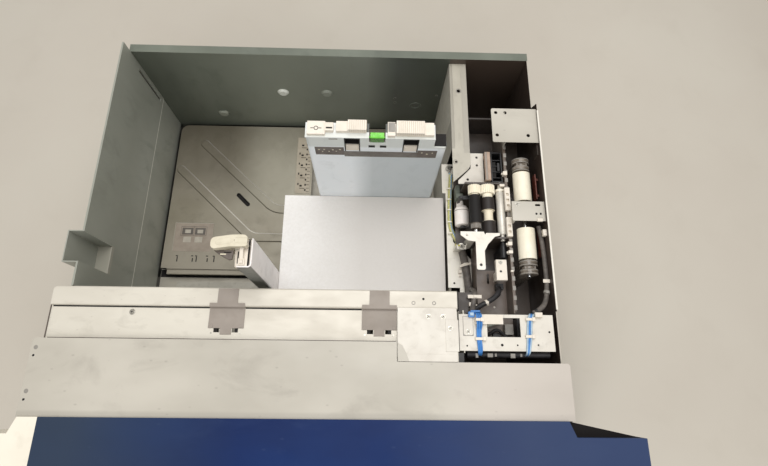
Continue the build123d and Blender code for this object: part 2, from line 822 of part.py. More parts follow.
def channel_cover():
    """Light plate over the rear of the channel, with four holes and a web that stands on the channel's inner wall."""
    z = rim_height - channel_cover_drop
    left = channel_cover_left_x
    plate = block(left, right_inner_x, channel_cover_front_y, bay_rear_y, z - sheet_gauge, z)
    for y in (channel_cover_front_y, bay_rear_y):
        plate = fillet(corner_edges(plate, left, y), channel_cover_corner)
    plate += block(bay_right_x, channel_left_x, channel_cover_front_y + channel_cover_corner,
                   bay_rear_y - channel_cover_corner, channel_wall_top, z - sheet_gauge)
    near, far = channel_cover_front_y + ledge_head_width / 2, bay_rear_y - running_gap
    for x, y in ((left + 8, near), (left + 61, near), (left + 8, far), (left + 24, far)):
        plate -= rod_z(x, y, z - 2 * sheet_gauge, z + 1, cover_plate_hole_radius)
    return plate


def upper_bracket():
    """Bracket with three holes behind the gears, with a flange down to the deck."""
    z = rim_height - upper_bracket_drop
    middle = (upper_front_y + upper_rear_y) / 2
    outline = [(upper_left_x, upper_front_y), (upper_right_x, upper_front_y), (upper_right_x, upper_rear_y),
               (upper_step_x, upper_rear_y), (upper_step_x, middle), (upper_left_x, upper_front_y + edge_gap)]
    plate = upward(outline, z - sheet_gauge, z)
    plate += block(upper_right_x - sheet_gauge, upper_right_x, upper_front_y, upper_rear_y, deck_top, z - sheet_gauge)
    hole_x = (upper_step_x + upper_right_x) / 2
    for x, y in ((hole_x, upper_rear_y - running_gap), (hole_x, middle + edge_gap), (upper_step_x - edge_gap,
                                                                                   upper_front_y + running_gap)):
        plate -= rod_z(x, y, z - 2 * sheet_gauge, z + 1, upper_hole_radius)
    return plate


def felt_bar():
    """Slim tan bar on two feet."""
    top = rim_height - bar_drop
    right = bar_left_x + bar_width
    bar = block(bar_left_x, right, bar_front_y, bar_front_y + bar_length, top - bar_thick, top)
    for y in (bar_front_y, bar_front_y + bar_length - edge_gap):
        bar += block(upper_right_x + seat_gap, right, y, y + edge_gap, deck_top, top - bar_thick)
    return bar


def sensor_block():
    """Open black box between the tan bar and the channel."""
    x0, x1 = sensor_left_x, sensor_left_x + sensor_width
    y0, y1 = sensor_front_y, sensor_front_y + sensor_length
    top = rim_height - sensor_drop
    wall = sensor_wall
    box = block(x0, x1, y0, y1, deck_top, top)
    return box - block(x0 + wall, x1 - wall, y0 + wall, y1 - wall, deck_top + 3 * sensor_width / 2, top + 1)


def feed_solenoid():
    """Pale solenoid with its neck, lying on the deck."""
    x1 = solenoid_left_x + solenoid_width
    y1 = solenoid_front_y + solenoid_length
    body = block(solenoid_left_x, x1, solenoid_front_y, y1, deck_top, deck_top + solenoid_height)
    body = fillet(body.edges().filter_by(Axis.Y).group_by(Axis.Z)[-1], solenoid_neck)
    return body + rod_y(solenoid_left_x + solenoid_width / 3, y1 - 1, y1 + solenoid_neck_length,
                        deck_top + solenoid_height / 2, solenoid_neck)


def shaft_plates():
    """Plates with the bearing bores of the feed shafts."""
    plates = []
    bore = shaft_radius + bore_clearance
    for y in (shaft_plate_front_y, shaft_plate_rear_y):
        plate = block(deck_left_x + running_gap, bay_right_x, y - shaft_plate_gauge, y, deck_top, shaft_plate_top)
        for x in (feed_axis_x, pull_axis_x, idler_axis_x):
            plate -= rod_y(x, y - shaft_plate_gauge - 1, y + 1, roller_axis_z, bore)
        plates.append(plate)
    return plates


def tee_bracket():
    """T-shaped light bracket in front of the rollers, with swept inner corners."""
    z = rim_height - tee_drop
    right = tee_left_x + tee_width
    stem_right = tee_stem_left_x + tee_stem_width
    arm = tee_rear_y - tee_arm
    outline = [(tee_left_x, tee_rear_y), (tee_left_x, tee_rear_y - edge_gap), (tee_left_x + 2 * edge_gap, arm),
               (tee_stem_left_x, arm - sheet_gauge), (tee_stem_left_x, tee_stem_front_y),
               (stem_right, tee_stem_front_y), (stem_right, arm - tee_curve), (stem_right + edge_gap, arm - edge_gap),
               (right - running_gap, tee_rear_y - running_gap), (right, tee_rear_y - edge_gap), (right, tee_rear_y - 2)]
    outline += [(stem_right + 4, tee_rear_y - 2), (stem_right + 2, tee_rear_y - edge_gap + 1), (stem_right, tee_rear_y)]
    plate = upward(outline, z - sheet_gauge, z)
    for x in (tee_stem_left_x, stem_right):
        plate = fillet(corner_edges(plate, x, tee_stem_front_y), edge_gap / 2)
    leg_x = shelf_left_x + 2 * sheet_gauge
    plate += block(leg_x, leg_x + tee_stem_width, arm, arm + sheet_gauge, deck_top, z - sheet_gauge)
    plate -= rod_z(tee_left_x + tee_arm * 0.67, tee_rear_y - edge_gap, z - 3, z + 1, tee_hole_radius)
    return plate - rod_z((tee_stem_left_x + stem_right) / 2, tee_stem_front_y + running_gap, z - 3, z + 1, tee_hole_radius)


def feed_comb():
    """White strips over the channel's inner wall beside the idler, with small notches."""
    strips = []
    x0, x1 = bay_right_x - comb_width / 2, bay_right_x + comb_width / 2 + sheet_gauge
    z0 = channel_wall_top
    for y0, length in ((comb_front_y, comb_front_length), (comb_rear_y, comb_rear_length)):
        strip = block(x0, x1, y0, y0 + length, z0, z0 + comb_height)
        count = int((length - comb_notch) // comb_pitch)
        for i in range(count):
            y = y0 + comb_notch + i * comb_pitch
            strip -= block(x0 + 2, x1 - 2, y, y + comb_notch, z0 + comb_height / 2, z0 + comb_height + 1)
        strips.append(strip)
    return strips


def feed_shelf():
    """Dark shelf in front of the tee bracket, with a flange on the side of the harness."""
    path = [(shelf_left_x, ledge_top), (shelf_left_x, shelf_top), (bay_right_x, shelf_top)]
    shelf = along(fold(path, -sheet_gauge), bay_front_y, shelf_rear_y)
    shelf += block(shelf_left_x, shelf_left_x + sheet_gauge, shelf_rear_y, shaft_plate_front_y - 2 * shaft_plate_gauge,
                   ledge_top, shelf_top)
    return shelf - slot_z(shelf_slot_x, shelf_slot_y, shelf_top - 3, shelf_top, shelf_slot_length, shelf_slot_width, 90)


def terminal_blocks():
    """White blocks: one on its post above the shelf, one on the corner bracket."""
    x1 = block_left_x + block_width
    y0 = block_rear_y - block_length
    top = shelf_top + block_post + block_height
    low = block(block_left_x, x1, y0, block_rear_y, shelf_top + block_post, top)
    low += block(block_left_x + block_width / 3, x1 - block_width / 3, y0 + block_width / 3, shelf_rear_y - block_width / 3,
                 shelf_top, shelf_top + block_post)
    z = corner_wall_top + sheet_gauge
    high = block(corner_block_x, corner_block_x + corner_block_width, corner_rear_y - corner_block_length - 1,
                 corner_rear_y - 1, z, z + corner_block_height)
    return [low, high]


def takeaway_bearings():
    """Bearings at both ends of the take-away shaft: a post between two thick rings."""
    solids = []
    half = bearing_post / 2
    for y0 in (rear_bearing_y, front_bearing_y):
        y1 = y0 + bearing_width
        bearing = block(takeaway_x - half, takeaway_x + half, y0, y1, channel_floor, takeaway_z + half)
        for ring in (y0, y1 - bearing_ring):
            bearing += rod_y(takeaway_x, ring, ring + bearing_ring, takeaway_z, bearing_radius)
        solids.append(bearing - rod_y(takeaway_x, y0 - 1, y1 + 1, takeaway_z, shaft_radius + bore_clearance))
    return solids


def roller_bracket():
    """Grey bracket over the shaft between the two rollers."""
    z = rim_height - roller_bracket_drop
    y0, y1 = bracket_front_y, bracket_front_y + bracket_length
    plate = block(bracket_left_x, right_inner_x, y0, y1, z - sheet_gauge, z)
    leg_x = channel_left_x + running_gap / 2
    plate += block(leg_x, leg_x + sheet_gauge, y0, y1, channel_floor, z - sheet_gauge)
    return plate - slot_z(right_inner_x - bracket_length / 3, y1 - edge_gap, z - 3, z, bracket_slot_length,
                          bracket_slot_width)


def corner_bracket():
    """Light plate at the front right corner with its window and a small tab."""
    z0, z1 = corner_wall_top, corner_wall_top + sheet_gauge
    plate = block(corner_left_x, corner_right_x, corner_front_y, corner_rear_y, z0, z1)
    plate -= block(window_left_x, window_right_x, window_front_y, window_rear_y, z0 - 1, z1 + 1)
    plate += block(feed_outer_x + seat_gap, corner_right_x - edge_gap, corner_front_y, corner_front_y + sheet_gauge,
                   z0 - corner_lip, z0)
    tab = block(tab_left_x, tab_left_x + tab_width, corner_rear_y - 4 - tab_length, corner_rear_y - 4, z1, z1 + clip_gauge)
    return plate + fillet(tab.edges().filter_by(Axis.Z).group_by(Axis.Y)[0], tab_corner)


def wire_tube():
    """Clear tube with wires along the ledge, turning to its ring terminal."""
    z = ledge_top + tube_radius + seat_gap
    x = ledge_left_x + tube_radius + 2
    points = [(x + 5, ledge_neck_y + 35, z), (x, ledge_neck_y - 25, z), (x, 2 * ledge_waist_y, z),
              (x + 18, ledge_waist_y - 1, z)]
    return cable(points, tube_radius, cable_bend / 2)


def black_harness():
    """Black harness: on the ledge, along the right wall and in front of the corner bracket."""
    z = ledge_top + harness_radius + seat_gap
    x = shelf_left_x - harness_radius - seat_gap
    ledge_run = cable([(x - 10, 7, z), (x, -28, z), (x, bay_front_y + harness_radius, z)], harness_radius)
    x = right_inner_x - wall_cable_radius - seat_gap
    z = takeaway_z + 5
    wall_run = cable([(x - 3, bracket_front_y - 4, z - 4), (x, 4, z), (x, -62, z), (x - 22, bay_front_y, z)],
                     wall_cable_radius)
    y = corner_front_y - front_cable_radius - seat_gap
    left, right = corner_left_x + 1.5 * running_gap, corner_right_x - edge_gap
    z = corner_wall_top - 2 * front_cable_radius
    front_run = cable([(left, y, z), (left + 45, y, z - 3), (right - 45, y, z - 2), (right, y, z - 1)],
                      front_cable_radius)
    return [ledge_run, wall_run, front_run]


def rib(x, y):
    """Pressed rib of the lift plate with leaning flanks: round start, slanted run, then straight along X."""
    turn_x = x + rib_run
    path = FilletPolyline((x, y + rib_slope * rib_run), (turn_x, y), (turn_x + rib_run / 2, y), radius=rib_bend)
    flat = trace(path, line_width=rib_width)
    flat += Pos(x, y + rib_slope * rib_run) * Circle(rib_width / 2)
    return extrude(Pos(0, 0, lift_top) * flat, rib_height, taper=rib_draft)


def lift_plate():
    """Lift plate, cut away for the guides, with a stepped front lip and two pressed ribs."""
    z0, z1 = lift_top - lift_gauge, lift_top
    outline = [(lift_left_x, lift_notch_y), (lift_notch_x, lift_notch_y), (lift_notch_x, lift_front_y),
               (lift_right_x, lift_front_y), (lift_right_x, lift_back_y), (lift_left_x, lift_back_y)]
    plate = upward(outline, z0, z1)
    plate = fillet(corner_edges(plate, lift_left_x, lift_back_y), lift_corner)
    plate += block(lift_left_x, lift_left_x + lift_gauge, lift_notch_y, lift_back_y - lift_corner,
                   lift_top - lift_skirt, z0)
    edge = lift_notch_y - lift_lip_reach
    step = [(lift_notch_y + 1, z0), (lift_notch_y, z0), (lift_notch_y, z0 - lift_lip_drop), (edge, z0 - lift_lip_drop),
            (edge, lift_top - lift_skirt)]
    plate += across(fold(step, -lift_gauge), lift_left_x + lift_lip_inset, lift_notch_x - lift_lip_inset)
    plate += rib(rear_rib_x, rib_rear_y) + rib(front_rib_x, rib_front_y)
    plate -= block(opening_left_x, opening_right_x, opening_front_y, opening_back_y, z0 - 1, z1 + 2 * rib_height)
    plate -= block(stack_left_x - guide_gap, lift_right_x, lift_front_y, opening_front_y, z1, z1 + 2 * rib_height)
    plate -= slot_z(plate_slot_x, plate_slot_y, z0, z1 + rib_height, plate_slot_length, plate_slot_width,
                    plate_slot_angle)
    return plate - block(label_left_x, label_right_x, label_front_y, label_rear_y, z1 - label_depth, z1 + 1)


def plate_scale():
    """Light strip with size marks beside the opening."""
    x1 = opening_left_x - scale_gap
    return block(x1 - scale_width, x1, scale_y, scale_y + scale_length, lift_top, lift_top + scale_gauge)


def paper_stack():
    return block(stack_left_x, stack_right_x, stack_front_y, stack_back_y, lift_top, stack_top)


def guide_tracks():
    """Tracks on the floor pan for the side guides and the end guide."""
    tracks = []
    top = pan_gauge + track_height
    for x in (guide_left_x + track_inset, guide_right_x - track_inset):
        tracks.append(block(x - track_width / 2, x + track_width / 2, front_wall_y + edge_gap, opening_back_y,
                            pan_gauge, top))
    half = end_track_breadth / 2
    right = stack_left_x + 3 * edge_gap
    left = right - end_track_length
    track = block(left, right, end_guide_y - half, end_guide_y + half, pan_gauge, top)
    tracks.append(track - block(left + running_gap, right - running_gap, end_guide_y - end_track_groove,
                                end_guide_y + end_track_groove, 2 * pan_gauge, top + 1))
    return tracks


def rear_side_guide():
    """Rear side guide: a folded upright with windows and a lower shoulder, on a foot that rides on the tracks."""
    y0 = guide_face_y
    y1 = y0 + guide_depth
    flange_z = guide_top - guide_gauge
    path = [(guide_right_x, y0 + right_return), (guide_right_x, y0), (guide_left_x, y0), (guide_left_x, y1)]
    body = upward(rounded(path, -guide_gauge, guide_bend), foot_z, flange_z)
    top_right = guide_right_x - shoulder_width
    body += block(guide_left_x, guide_right_x, y0, y1, flange_z, guide_top)
    body -= block(top_right, guide_right_x + 1, y0 - 1, y1 + 1, guide_top - shoulder_drop, guide_top + 1)
    body += block(guide_left_x + foot_inset, guide_right_x - foot_inset, y0 + guide_gauge, y0 + rear_foot_reach,
                  foot_z, foot_z + foot_gauge)
    for start in (left_window, right_window):
        x = guide_left_x + start
        body -= block(x, x + window_width, y0 - 1, y0 + guide_gauge + 1, window_sill, window_sill + window_height)
    for start in (slit_left, slit_right):
        x = guide_left_x + start
        z = guide_top - slit_drop
        body -= block(x, x + slit_width, y0 - 1, y0 + guide_gauge + 1, z, z + slit_height)
    latch_x = guide_left_x + latch_left
    notch_left, notch_right = latch_x - latch_room, latch_x + latch_width + latch_room
    body -= block(notch_left, notch_right, y0 - 1, y1 + 1, flange_z - 1, guide_top + 1)
    body -= block(notch_left, notch_right, y0 - 1, y0 + guide_gauge + 1, guide_top - latch_height - latch_room,
                  guide_top + 1)
    for x in (notch_left - ear_gauge, notch_right):
        ear = block(x, x + ear_gauge, y0 + guide_gauge, y0 + guide_gauge + ear_depth, flange_z - ear_height, flange_z)
        body += ear - rod_x(x - 1, x + ear_gauge + 1, latch_y, latch_z, pin_radius + bore_clearance)
    return body


def guide_caps():
    """White plastic on the rear side guide: pad, slider, two stepped caps, a stub, and the snaps in the windows."""
    y0, y1 = guide_face_y + cap_setback, guide_face_y + guide_depth
    z = guide_top
    x = guide_left_x
    pad = block(x + 3, x + 3 + pad_width, guide_face_y + 3, y1, z, z + cap_height - 1)
    slider = block(x + slider_left, x + slider_left + slider_width, y0, y1 - 3, z, z + cap_height + 1)
    left = block(x + left_cap, x + left_cap + left_cap_width, y0, y1, z, z + cap_height)
    left += block(x + left_cap + left_cap_low, x + left_cap + left_cap_width, y0, y1, z, z + cap_height + cap_raise)
    stub = block(x + stub_left, x + stub_left + stub_width, guide_face_y + 2, y1, z, z + cap_height)
    right_end = x + right_cap + right_cap_width
    right = block(x + right_cap, right_end, guide_face_y + 4, y1, z, z + cap_height)
    right += block(x + right_cap, right_end - right_cap_low, guide_face_y + 4, y1, z, z + cap_height + cap_raise)
    snaps = []
    for start in (left_window, right_window):
        snap = block(x + start, x + start + window_width, guide_face_y + seat_gap, guide_face_y + guide_gauge,
                     window_sill, window_sill + snap_height)
        snap += block(x + start - 2, x + start + window_width + 2, guide_face_y + guide_gauge,
                      guide_face_y + snap_depth, window_sill - 3, window_sill + snap_height)
        snaps.append(snap)
    return [pad, slider, left, stub, right] + snaps


def guide_latch():
    """Green latch in the notch between the caps, on its pin."""
    x = guide_left_x + latch_left
    y = guide_face_y + latch_setback
    latch = block(x, x + latch_width, y, y + latch_depth, guide_top - latch_height, guide_top)
    latch = fillet(latch.edges().filter_by(Axis.X).group_by(Axis.Y)[0].sort_by(Axis.Z)[-1], latch_corner)
    reach = latch_room + ear_gauge
    return latch + rod_x(x - reach, x + latch_width + reach, latch_y, latch_z, pin_radius)


def front_side_guide():
    """Front side guide under the rail, a plain folded upright."""
    y0 = stack_front_y - guide_gap
    path = [(guide_left_x, y0 - front_guide_depth), (guide_left_x, y0), (guide_right_x, y0),
            (guide_right_x, y0 - front_guide_depth)]
    body = upward(fold(path, -guide_gauge), foot_z, front_guide_top)
    body += block(guide_left_x + guide_gauge, guide_right_x - guide_gauge, y0 - front_guide_depth, y0 - guide_gauge,
                  foot_z, foot_z + foot_gauge)
    return body


def end_guide():
    """Post that stops the tail of the stack: a folded upright on a foot."""
    y0, y1 = end_guide_y - end_guide_breadth / 2, end_guide_y + end_guide_breadth / 2
    path = [(post_face_x, y1), (post_face_x, y0), (post_left_x, y0)]
    body = upward(rounded(path, -guide_gauge, guide_bend), foot_z, end_guide_top)
    body += block(post_left_x, post_face_x - guide_gauge, y0 + guide_gauge, y1, foot_z, foot_z + foot_gauge)
    return body


def end_guide_head():
    """White head in the top of the post, with the tongue and pin of the lever and two struts."""
    x1 = post_face_x - guide_gauge
    y0 = end_guide_y - end_guide_breadth / 2 + guide_gauge
    y1 = end_guide_y + end_guide_breadth / 2
    top = end_guide_top
    head = block(post_left_x, x1, y0, y1, top - head_height, top)
    head = fillet(corner_edges(head, x1, y0), guide_bend + seat_gap)
    head -= block(x1 - head_recess, x1 + 1, y0 - 1, y1 + 1, top - head_recess_depth, top + 1)
    head += block(lever_x - tongue_half, lever_x + tongue_half, lever_y - tongue_half, lever_y + tongue_half, top,
                  lever_z + tongue_half)
    head += rod_y(lever_x, lever_y - lever_width / 2, lever_y + lever_width / 2, lever_z, pin_radius)
    rear = lever_y - lever_width / 2 - 1
    for x, lower in ((post_left_x - strut_width, strut_step), (post_left_x + strut_width, 0)):
        side = [(rear, top + strut_height - lower), (rear - strut_length, top + 2 - lower),
                (rear - strut_length, top - head_height / 2 - lower / 2), (rear, top - head_height / 2 - lower / 2)]
        head += across(side[::-1], x, x + strut_width)
    return head


def end_guide_lever():
    """Cream paddle that releases the end guide, forked round the tongue, with a curved web under its arm."""
    half, tip = lever_width / 2, lever_tip / 2
    left, right = lever_x - lever_reach, lever_x + lever_nose
    tip_y = lever_y - lever_skew
    z0 = lever_z - lever_under
    outline = [(left, tip_y - tip), (lever_x, lever_y - half), (right, lever_y - half), (right, lever_y + half),
               (lever_x, lever_y + half), (left, tip_y + tip)]
    paddle = upward(outline, z0, z0 + lever_thick)
    for x, y, radius in ((left, tip_y - tip, lever_tip_round), (left, tip_y + tip, lever_tip_round),
                         (right, lever_y + half, lever_nose_round)):
        paddle = fillet(corner_edges(paddle, x, y), radius)
    web_left, web_right = left + lever_tip_round, post_left_x - strut_width - running_gap / 4
    arch = ThreePointArc((web_right, z0 - lever_web), ((web_left + web_right) / 2, z0 - 0.7 * lever_web), (web_left, z0))
    web = make_face([arch, Line((web_left, z0), (web_right, z0)), Line((web_right, z0), (web_right, z0 - lever_web))])
    web_y = tip_y - lever_web_gauge / 2
    paddle += along(web, web_y, web_y + lever_web_gauge)
    paddle -= block(lever_x - tongue_half - 2 * fork_half, right + 1, lever_y - fork_half, lever_y + fork_half, z0 - 1,
                    z0 + lever_thick - 2)
    return paddle - rod_y(lever_x, lever_y - half - 1, lever_y + half + 1, lever_z, pin_radius + bore_clearance)


def gear(teeth, x, y0, z, start):
    """Spur gear lying along Y; start turns it, as a share of one tooth."""
    pitch = gear_module * teeth / 2
    root, tip = pitch - 1.1 * gear_module, pitch + 0.75 * gear_module
    outline = []
    for i in range(teeth):
        for share, radius in ((-0.24, root), (-0.11, tip), (0.11, tip), (0.24, root)):
            a = 2 * math.pi * (i + share + start) / teeth
            outline.append((radius * math.cos(a), radius * math.sin(a)))
    front = Plane(origin=(x, y0, z), x_dir=(1, 0, 0), z_dir=(0, -1, 0))
    wheel = extrude(front * make_face(Polyline(*outline, close=True)), -gear_width)
    return wheel - rod_y(x, y0 - 1, y0 + gear_width + 1, z, shaft_radius)


def shaft(x):
    """Shaft through both bearing plates."""
    return rod_y(x, shaft_plate_front_y - shaft_plate_gauge - 2, shaft_plate_rear_y + 2, roller_axis_z,
                 shaft_radius)


def feed_roller():
    """Black feed roller on its shaft, with a tan collar in front."""
    x, z = feed_axis_x, roller_axis_z
    roller = shaft(x)
    roller += rod_y(x, feed_roller_front_y, feed_roller_front_y + feed_roller_length, z, feed_roller_radius)
    return roller + rod_y(x, feed_roller_front_y - feed_collar_width, feed_roller_front_y, z, feed_collar_radius)


def pull_roller():
    """Shaft with two rubber rollers and a hub between them."""
    x, z = pull_axis_x, roller_axis_z
    roller = shaft(x)
    for y0 in (pull_front_y, pull_rear_y):
        roller += rod_y(x, y0, y0 + pull_length, z, pull_roller_radius)
    return roller + rod_y(x, pull_front_y + pull_length - 1, pull_rear_y + 1, z, pull_hub_radius)


def idler_roller():
    """Bright idler with a white collar at its rear end."""
    x, z = idler_axis_x, roller_axis_z
    roller = shaft(x)
    end = idler_front_y + idler_length
    return roller + rod_y(x, idler_front_y, end, z, idler_radius) + rod_y(x, end, end + idler_collar_width, z,
                                                                        idler_collar_radius)


def takeaway_shaft():
    """Shaft of the take-away rollers."""
    y0 = front_bearing_y - bearing_gap
    y1 = rear_bearing_y + bearing_width + bearing_gap
    return rod_y(takeaway_x, y0, y1, takeaway_z, shaft_radius)


def takeaway_rollers():
    """Two cream rollers on the shaft."""
    rollers = []
    for y0 in (takeaway_front_y, takeaway_rear_y):
        roller = rod_y(takeaway_x, y0, y0 + takeaway_length, takeaway_z, takeaway_radius)
        rollers.append(roller - rod_y(takeaway_x, y0 - 1, y0 + takeaway_length + 1, takeaway_z, shaft_radius))
    return rollers


keep("floor_pan", floor_pan())
keep("left_wall", left_wall())
keep("back_wall", back_wall())
keep("front_wall", front_wall())
keep("panel_plate", panel_plate())
keep("right_wall", right_wall())
keep("front_rail", front_rail())
keep("rail_inserts", group([rail_insert(x) for x in insert_places()]))
keep("rail_end_plate", rail_end_plate())
keep("front_cover", front_cover())
keep("front_panel", front_panel())
keep("panel_end_trim", panel_end_trim())
keep("slide_rails", group([slide_rail(-1), slide_rail(1)]))
keep("feed_side_wall", feed_side_wall())
keep("feed_ledge", feed_ledge())
keep("feed_rear_strip", feed_rear_strip())
keep("bulkheads", group(bulkheads()))
keep("feed_deck", feed_deck())
keep("roller_channel", roller_channel())
keep("channel_cover", channel_cover())
keep("upper_bracket", upper_bracket())
keep("felt_bar", felt_bar())
keep("sensor_block", sensor_block())
keep("feed_solenoid", feed_solenoid())
keep("shaft_plates", group(shaft_plates()))
keep("tee_bracket", tee_bracket())
keep("feed_comb", group(feed_comb()))
keep("feed_shelf", feed_shelf())
keep("terminal_blocks", group(terminal_blocks()))
keep("takeaway_bearings", group(takeaway_bearings()))
keep("roller_bracket", roller_bracket())
keep("corner_bracket", corner_bracket())
keep("wire_tube", wire_tube())
keep("black_harness", group(black_harness()))
keep("guide_tracks", group(guide_tracks()))
keep("lift_plate", lift_plate())
keep("plate_scale", plate_scale())
keep("paper_stack", paper_stack())
keep("rear_side_guide", rear_side_guide())
keep("guide_caps", group(guide_caps()))
keep("guide_latch", guide_latch())
keep("front_side_guide", front_side_guide())
keep("end_guide", end_guide())
keep("end_guide_head", end_guide_head())
keep("end_guide_lever", end_guide_lever())
keep("feed_roller", feed_roller())
keep("feed_gear", gear(feed_teeth, feed_axis_x, gear_y, roller_axis_z, 0.0))
keep("pull_roller", pull_roller())
keep("pull_gear", gear(pull_teeth, pull_axis_x, gear_y, roller_axis_z, 0.5))
keep("idler_roller", idler_roller())
keep("takeaway_shaft", takeaway_shaft())
keep("takeaway_rollers", group(takeaway_rollers()))
print(len(made), "pieces")
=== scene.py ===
"""Looks of the pull-out paper feed drawer: finishes, small pieces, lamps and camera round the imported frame."""

import logging
import math
from abc import ABC, abstractmethod
from collections.abc import Sequence
from dataclasses import dataclass, field, replace
from enum import Enum

import bmesh
import bpy
from mathutils import Matrix, Vector


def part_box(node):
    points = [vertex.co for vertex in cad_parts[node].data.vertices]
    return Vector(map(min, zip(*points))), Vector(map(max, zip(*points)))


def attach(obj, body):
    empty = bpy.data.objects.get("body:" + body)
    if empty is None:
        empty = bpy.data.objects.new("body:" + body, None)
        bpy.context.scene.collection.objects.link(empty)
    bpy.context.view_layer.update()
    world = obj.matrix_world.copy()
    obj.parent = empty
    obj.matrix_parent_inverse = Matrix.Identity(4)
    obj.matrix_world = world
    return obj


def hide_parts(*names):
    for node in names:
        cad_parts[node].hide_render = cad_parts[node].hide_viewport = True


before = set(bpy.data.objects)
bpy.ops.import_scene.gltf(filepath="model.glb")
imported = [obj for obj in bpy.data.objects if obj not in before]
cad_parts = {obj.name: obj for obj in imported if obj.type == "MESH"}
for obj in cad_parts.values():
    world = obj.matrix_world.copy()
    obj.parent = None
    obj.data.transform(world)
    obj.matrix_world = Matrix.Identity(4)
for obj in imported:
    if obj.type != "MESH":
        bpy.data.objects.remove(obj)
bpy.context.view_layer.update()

LOG = logging.getLogger("drawer")
MM = 0.001
UP = (0.0, 0.0, 1.0)
# Directions that the inner faces of the left and the back wall look in
INTO_X = (1.0, 0.0, 0.0)
INTO_Y = (0.0, -1.0, 0.0)
# Direction of the rollers' shafts
ALONG_Y = (0.0, 1.0, 0.0)
# Edges between faces that meet at more than this stay sharp
CREASE = math.radians(35)
FINE_CREASE = math.radians(30)
Triple = tuple[float, float, float]
Pair = tuple[float, float]
Box = tuple[float, float, float, float, float, float]
Socket = bpy.types.NodeSocket
Tree = bpy.types.NodeTree

# Parts of a pattern's values over which its tint, or a zone's facing, comes in
CLOUD_SPAN: Pair = (0.36, 0.64)
SMUDGE_SPAN: Pair = (0.54, 0.78)
SPECK_SPAN: Pair = (0.04, 0.1)
LINE_SPAN: Pair = (0.6, 1.0)
EDGE_WEAR_AND_LIGHT_SPAN: Pair = (0.985, 0.9)
GLOSS_SPAN: Pair = (0.35, 0.65)
FACING_SPAN: Pair = (0.5, 0.7)
LINE_SHARE = 0.6
EDGE_WEAR_AND_LIGHT_SHARE = 0.8


class Body(Enum):
    """Bodies of the frame that new pieces ride on."""

    DRAWER = "drawer"
    LIFT = "lift"
    REAR_GUIDE = "rear_guide"
    TAIL_GUIDE = "tail_guide"
    TAIL_LEVER = "tail_lever"
    FEED_SHAFT = "feed_shaft"
    PULL_SHAFT = "pull_shaft"
    IDLER = "idler"
    TAKEAWAY = "takeaway"


def linear(colour: str) -> tuple[float, float, float, float]:
    """Turns an sRGB hex colour such as '#f0e6d2' to linear RGBA.

    Args:
        colour: The colour, as a hash and six hex digits.

    Returns:
        Red, green, blue and an alpha of 1, as a shader socket takes them.
    """
    parts = [int(colour[i:i + 2], 16) / 255 for i in (1, 3, 5)]
    red, green, blue = (p / 12.92 if p <= 0.04045 else ((p + 0.055) / 1.055) ** 2.4 for p in parts)
    return red, green, blue, 1.0


def per_mm(size: float) -> float:
    """Returns the scale of a noise or cell texture whose features are that many millimetres wide."""
    return 1.0 / (size * MM)


def metres(place: Triple) -> Vector:
    """Returns a place given in millimetres as a vector in metres."""
    return Vector(place) * MM


def add(tree: Tree, kind: str, inputs: dict | None = None, **settings: object) -> bpy.types.Node:
    """Adds a node with its settings, values and links.

    Args:
        tree: The node tree that it goes in.
        kind: Blender's name of the node type.
        inputs: Values or output sockets by the input's name or index.
        settings: Properties of the node, set before its inputs.

    Returns:
        The new node.
    """
    node = tree.nodes.new(kind)
    for key, value in settings.items():
        setattr(node, key, value)
    for key, value in (inputs or {}).items():
        if isinstance(value, Socket):
            tree.links.new(value, node.inputs[key])
        else:
            node.inputs[key].default_value = value
    return node


@dataclass(frozen=True)
class Zone:
    """Box in millimetres inside which a finish has another colour, such as the rubber on a shaft; many zones are
    painted light and shade.
    """

    low: Triple
    high: Triple
    colour: str
    facing: Triple | None = None
    soft: float = 0.6
    share: float = 1.0
    roughness: float | None = None
    metallic: float | None = None

    def mask(self, tree: Tree, coordinates: bpy.types.Node) -> Socket:
        """Builds the nodes that are 1 inside the box and 0 outside.

        Args:
            tree: The material's tree.
            coordinates: Its Texture Coordinate node.

        Returns:
            The socket with the mask.
        """
        middle = (metres(self.low) + metres(self.high)) / 2
        half = (metres(self.high) - metres(self.low)) / 2
        away = add(tree, "ShaderNodeVectorMath", {0: coordinates.outputs["Object"], 1: middle}, operation="SUBTRACT")
        away = add(tree, "ShaderNodeVectorMath", {0: away.outputs[0]}, operation="ABSOLUTE")
        away = add(tree, "ShaderNodeVectorMath", {0: away.outputs[0], 1: half}, operation="SUBTRACT")
        parts = add(tree, "ShaderNodeSeparateXYZ", {0: away.outputs[0]}).outputs
        most = add(tree, "ShaderNodeMath", {0: parts[0], 1: parts[1]}, operation="MAXIMUM")
        most = add(tree, "ShaderNodeMath", {0: most.outputs[0], 1: parts[2]}, operation="MAXIMUM")
        mask = add(tree, "ShaderNodeMapRange", {
            "Value": most.outputs[0], "From Min": 0.0, "From Max": self.soft * MM, "To Min": self.share,
            "To Max": 0.0}).outputs[0]
        if self.facing is None:
            return mask
        turn = add(tree, "ShaderNodeVectorMath", {
            0: coordinates.outputs["Normal"], 1: self.facing}, operation="DOT_PRODUCT")
        side = add(tree, "ShaderNodeMapRange", {
            "Value": turn.outputs["Value"], "From Min": FACING_SPAN[0], "From Max": FACING_SPAN[1]})
        return add(tree, "ShaderNodeMath", {0: mask, 1: side.outputs[0]}, operation="MULTIPLY").outputs[0]


@dataclass(frozen=True)
class Surface(ABC):
    """What each finish has: its material's name, the record's slot and its main colour."""

    name: str
    slot: str
    colour: str

    def material(self) -> bpy.types.Material:
        """Finds the Blender material, and makes it on the first call.

        Returns:
            The material.
        """
        made = bpy.data.materials.get(self.name)
        if made is None:
            made = bpy.data.materials.new(self.name)
            made.use_nodes = True
            made.node_tree.nodes.clear()
            self.build(made)
        return made

    @abstractmethod
    def build(self, made: bpy.types.Material) -> None:
        """Adds the nodes of the shader.

        Args:
            made: The new material, with an empty tree.
        """


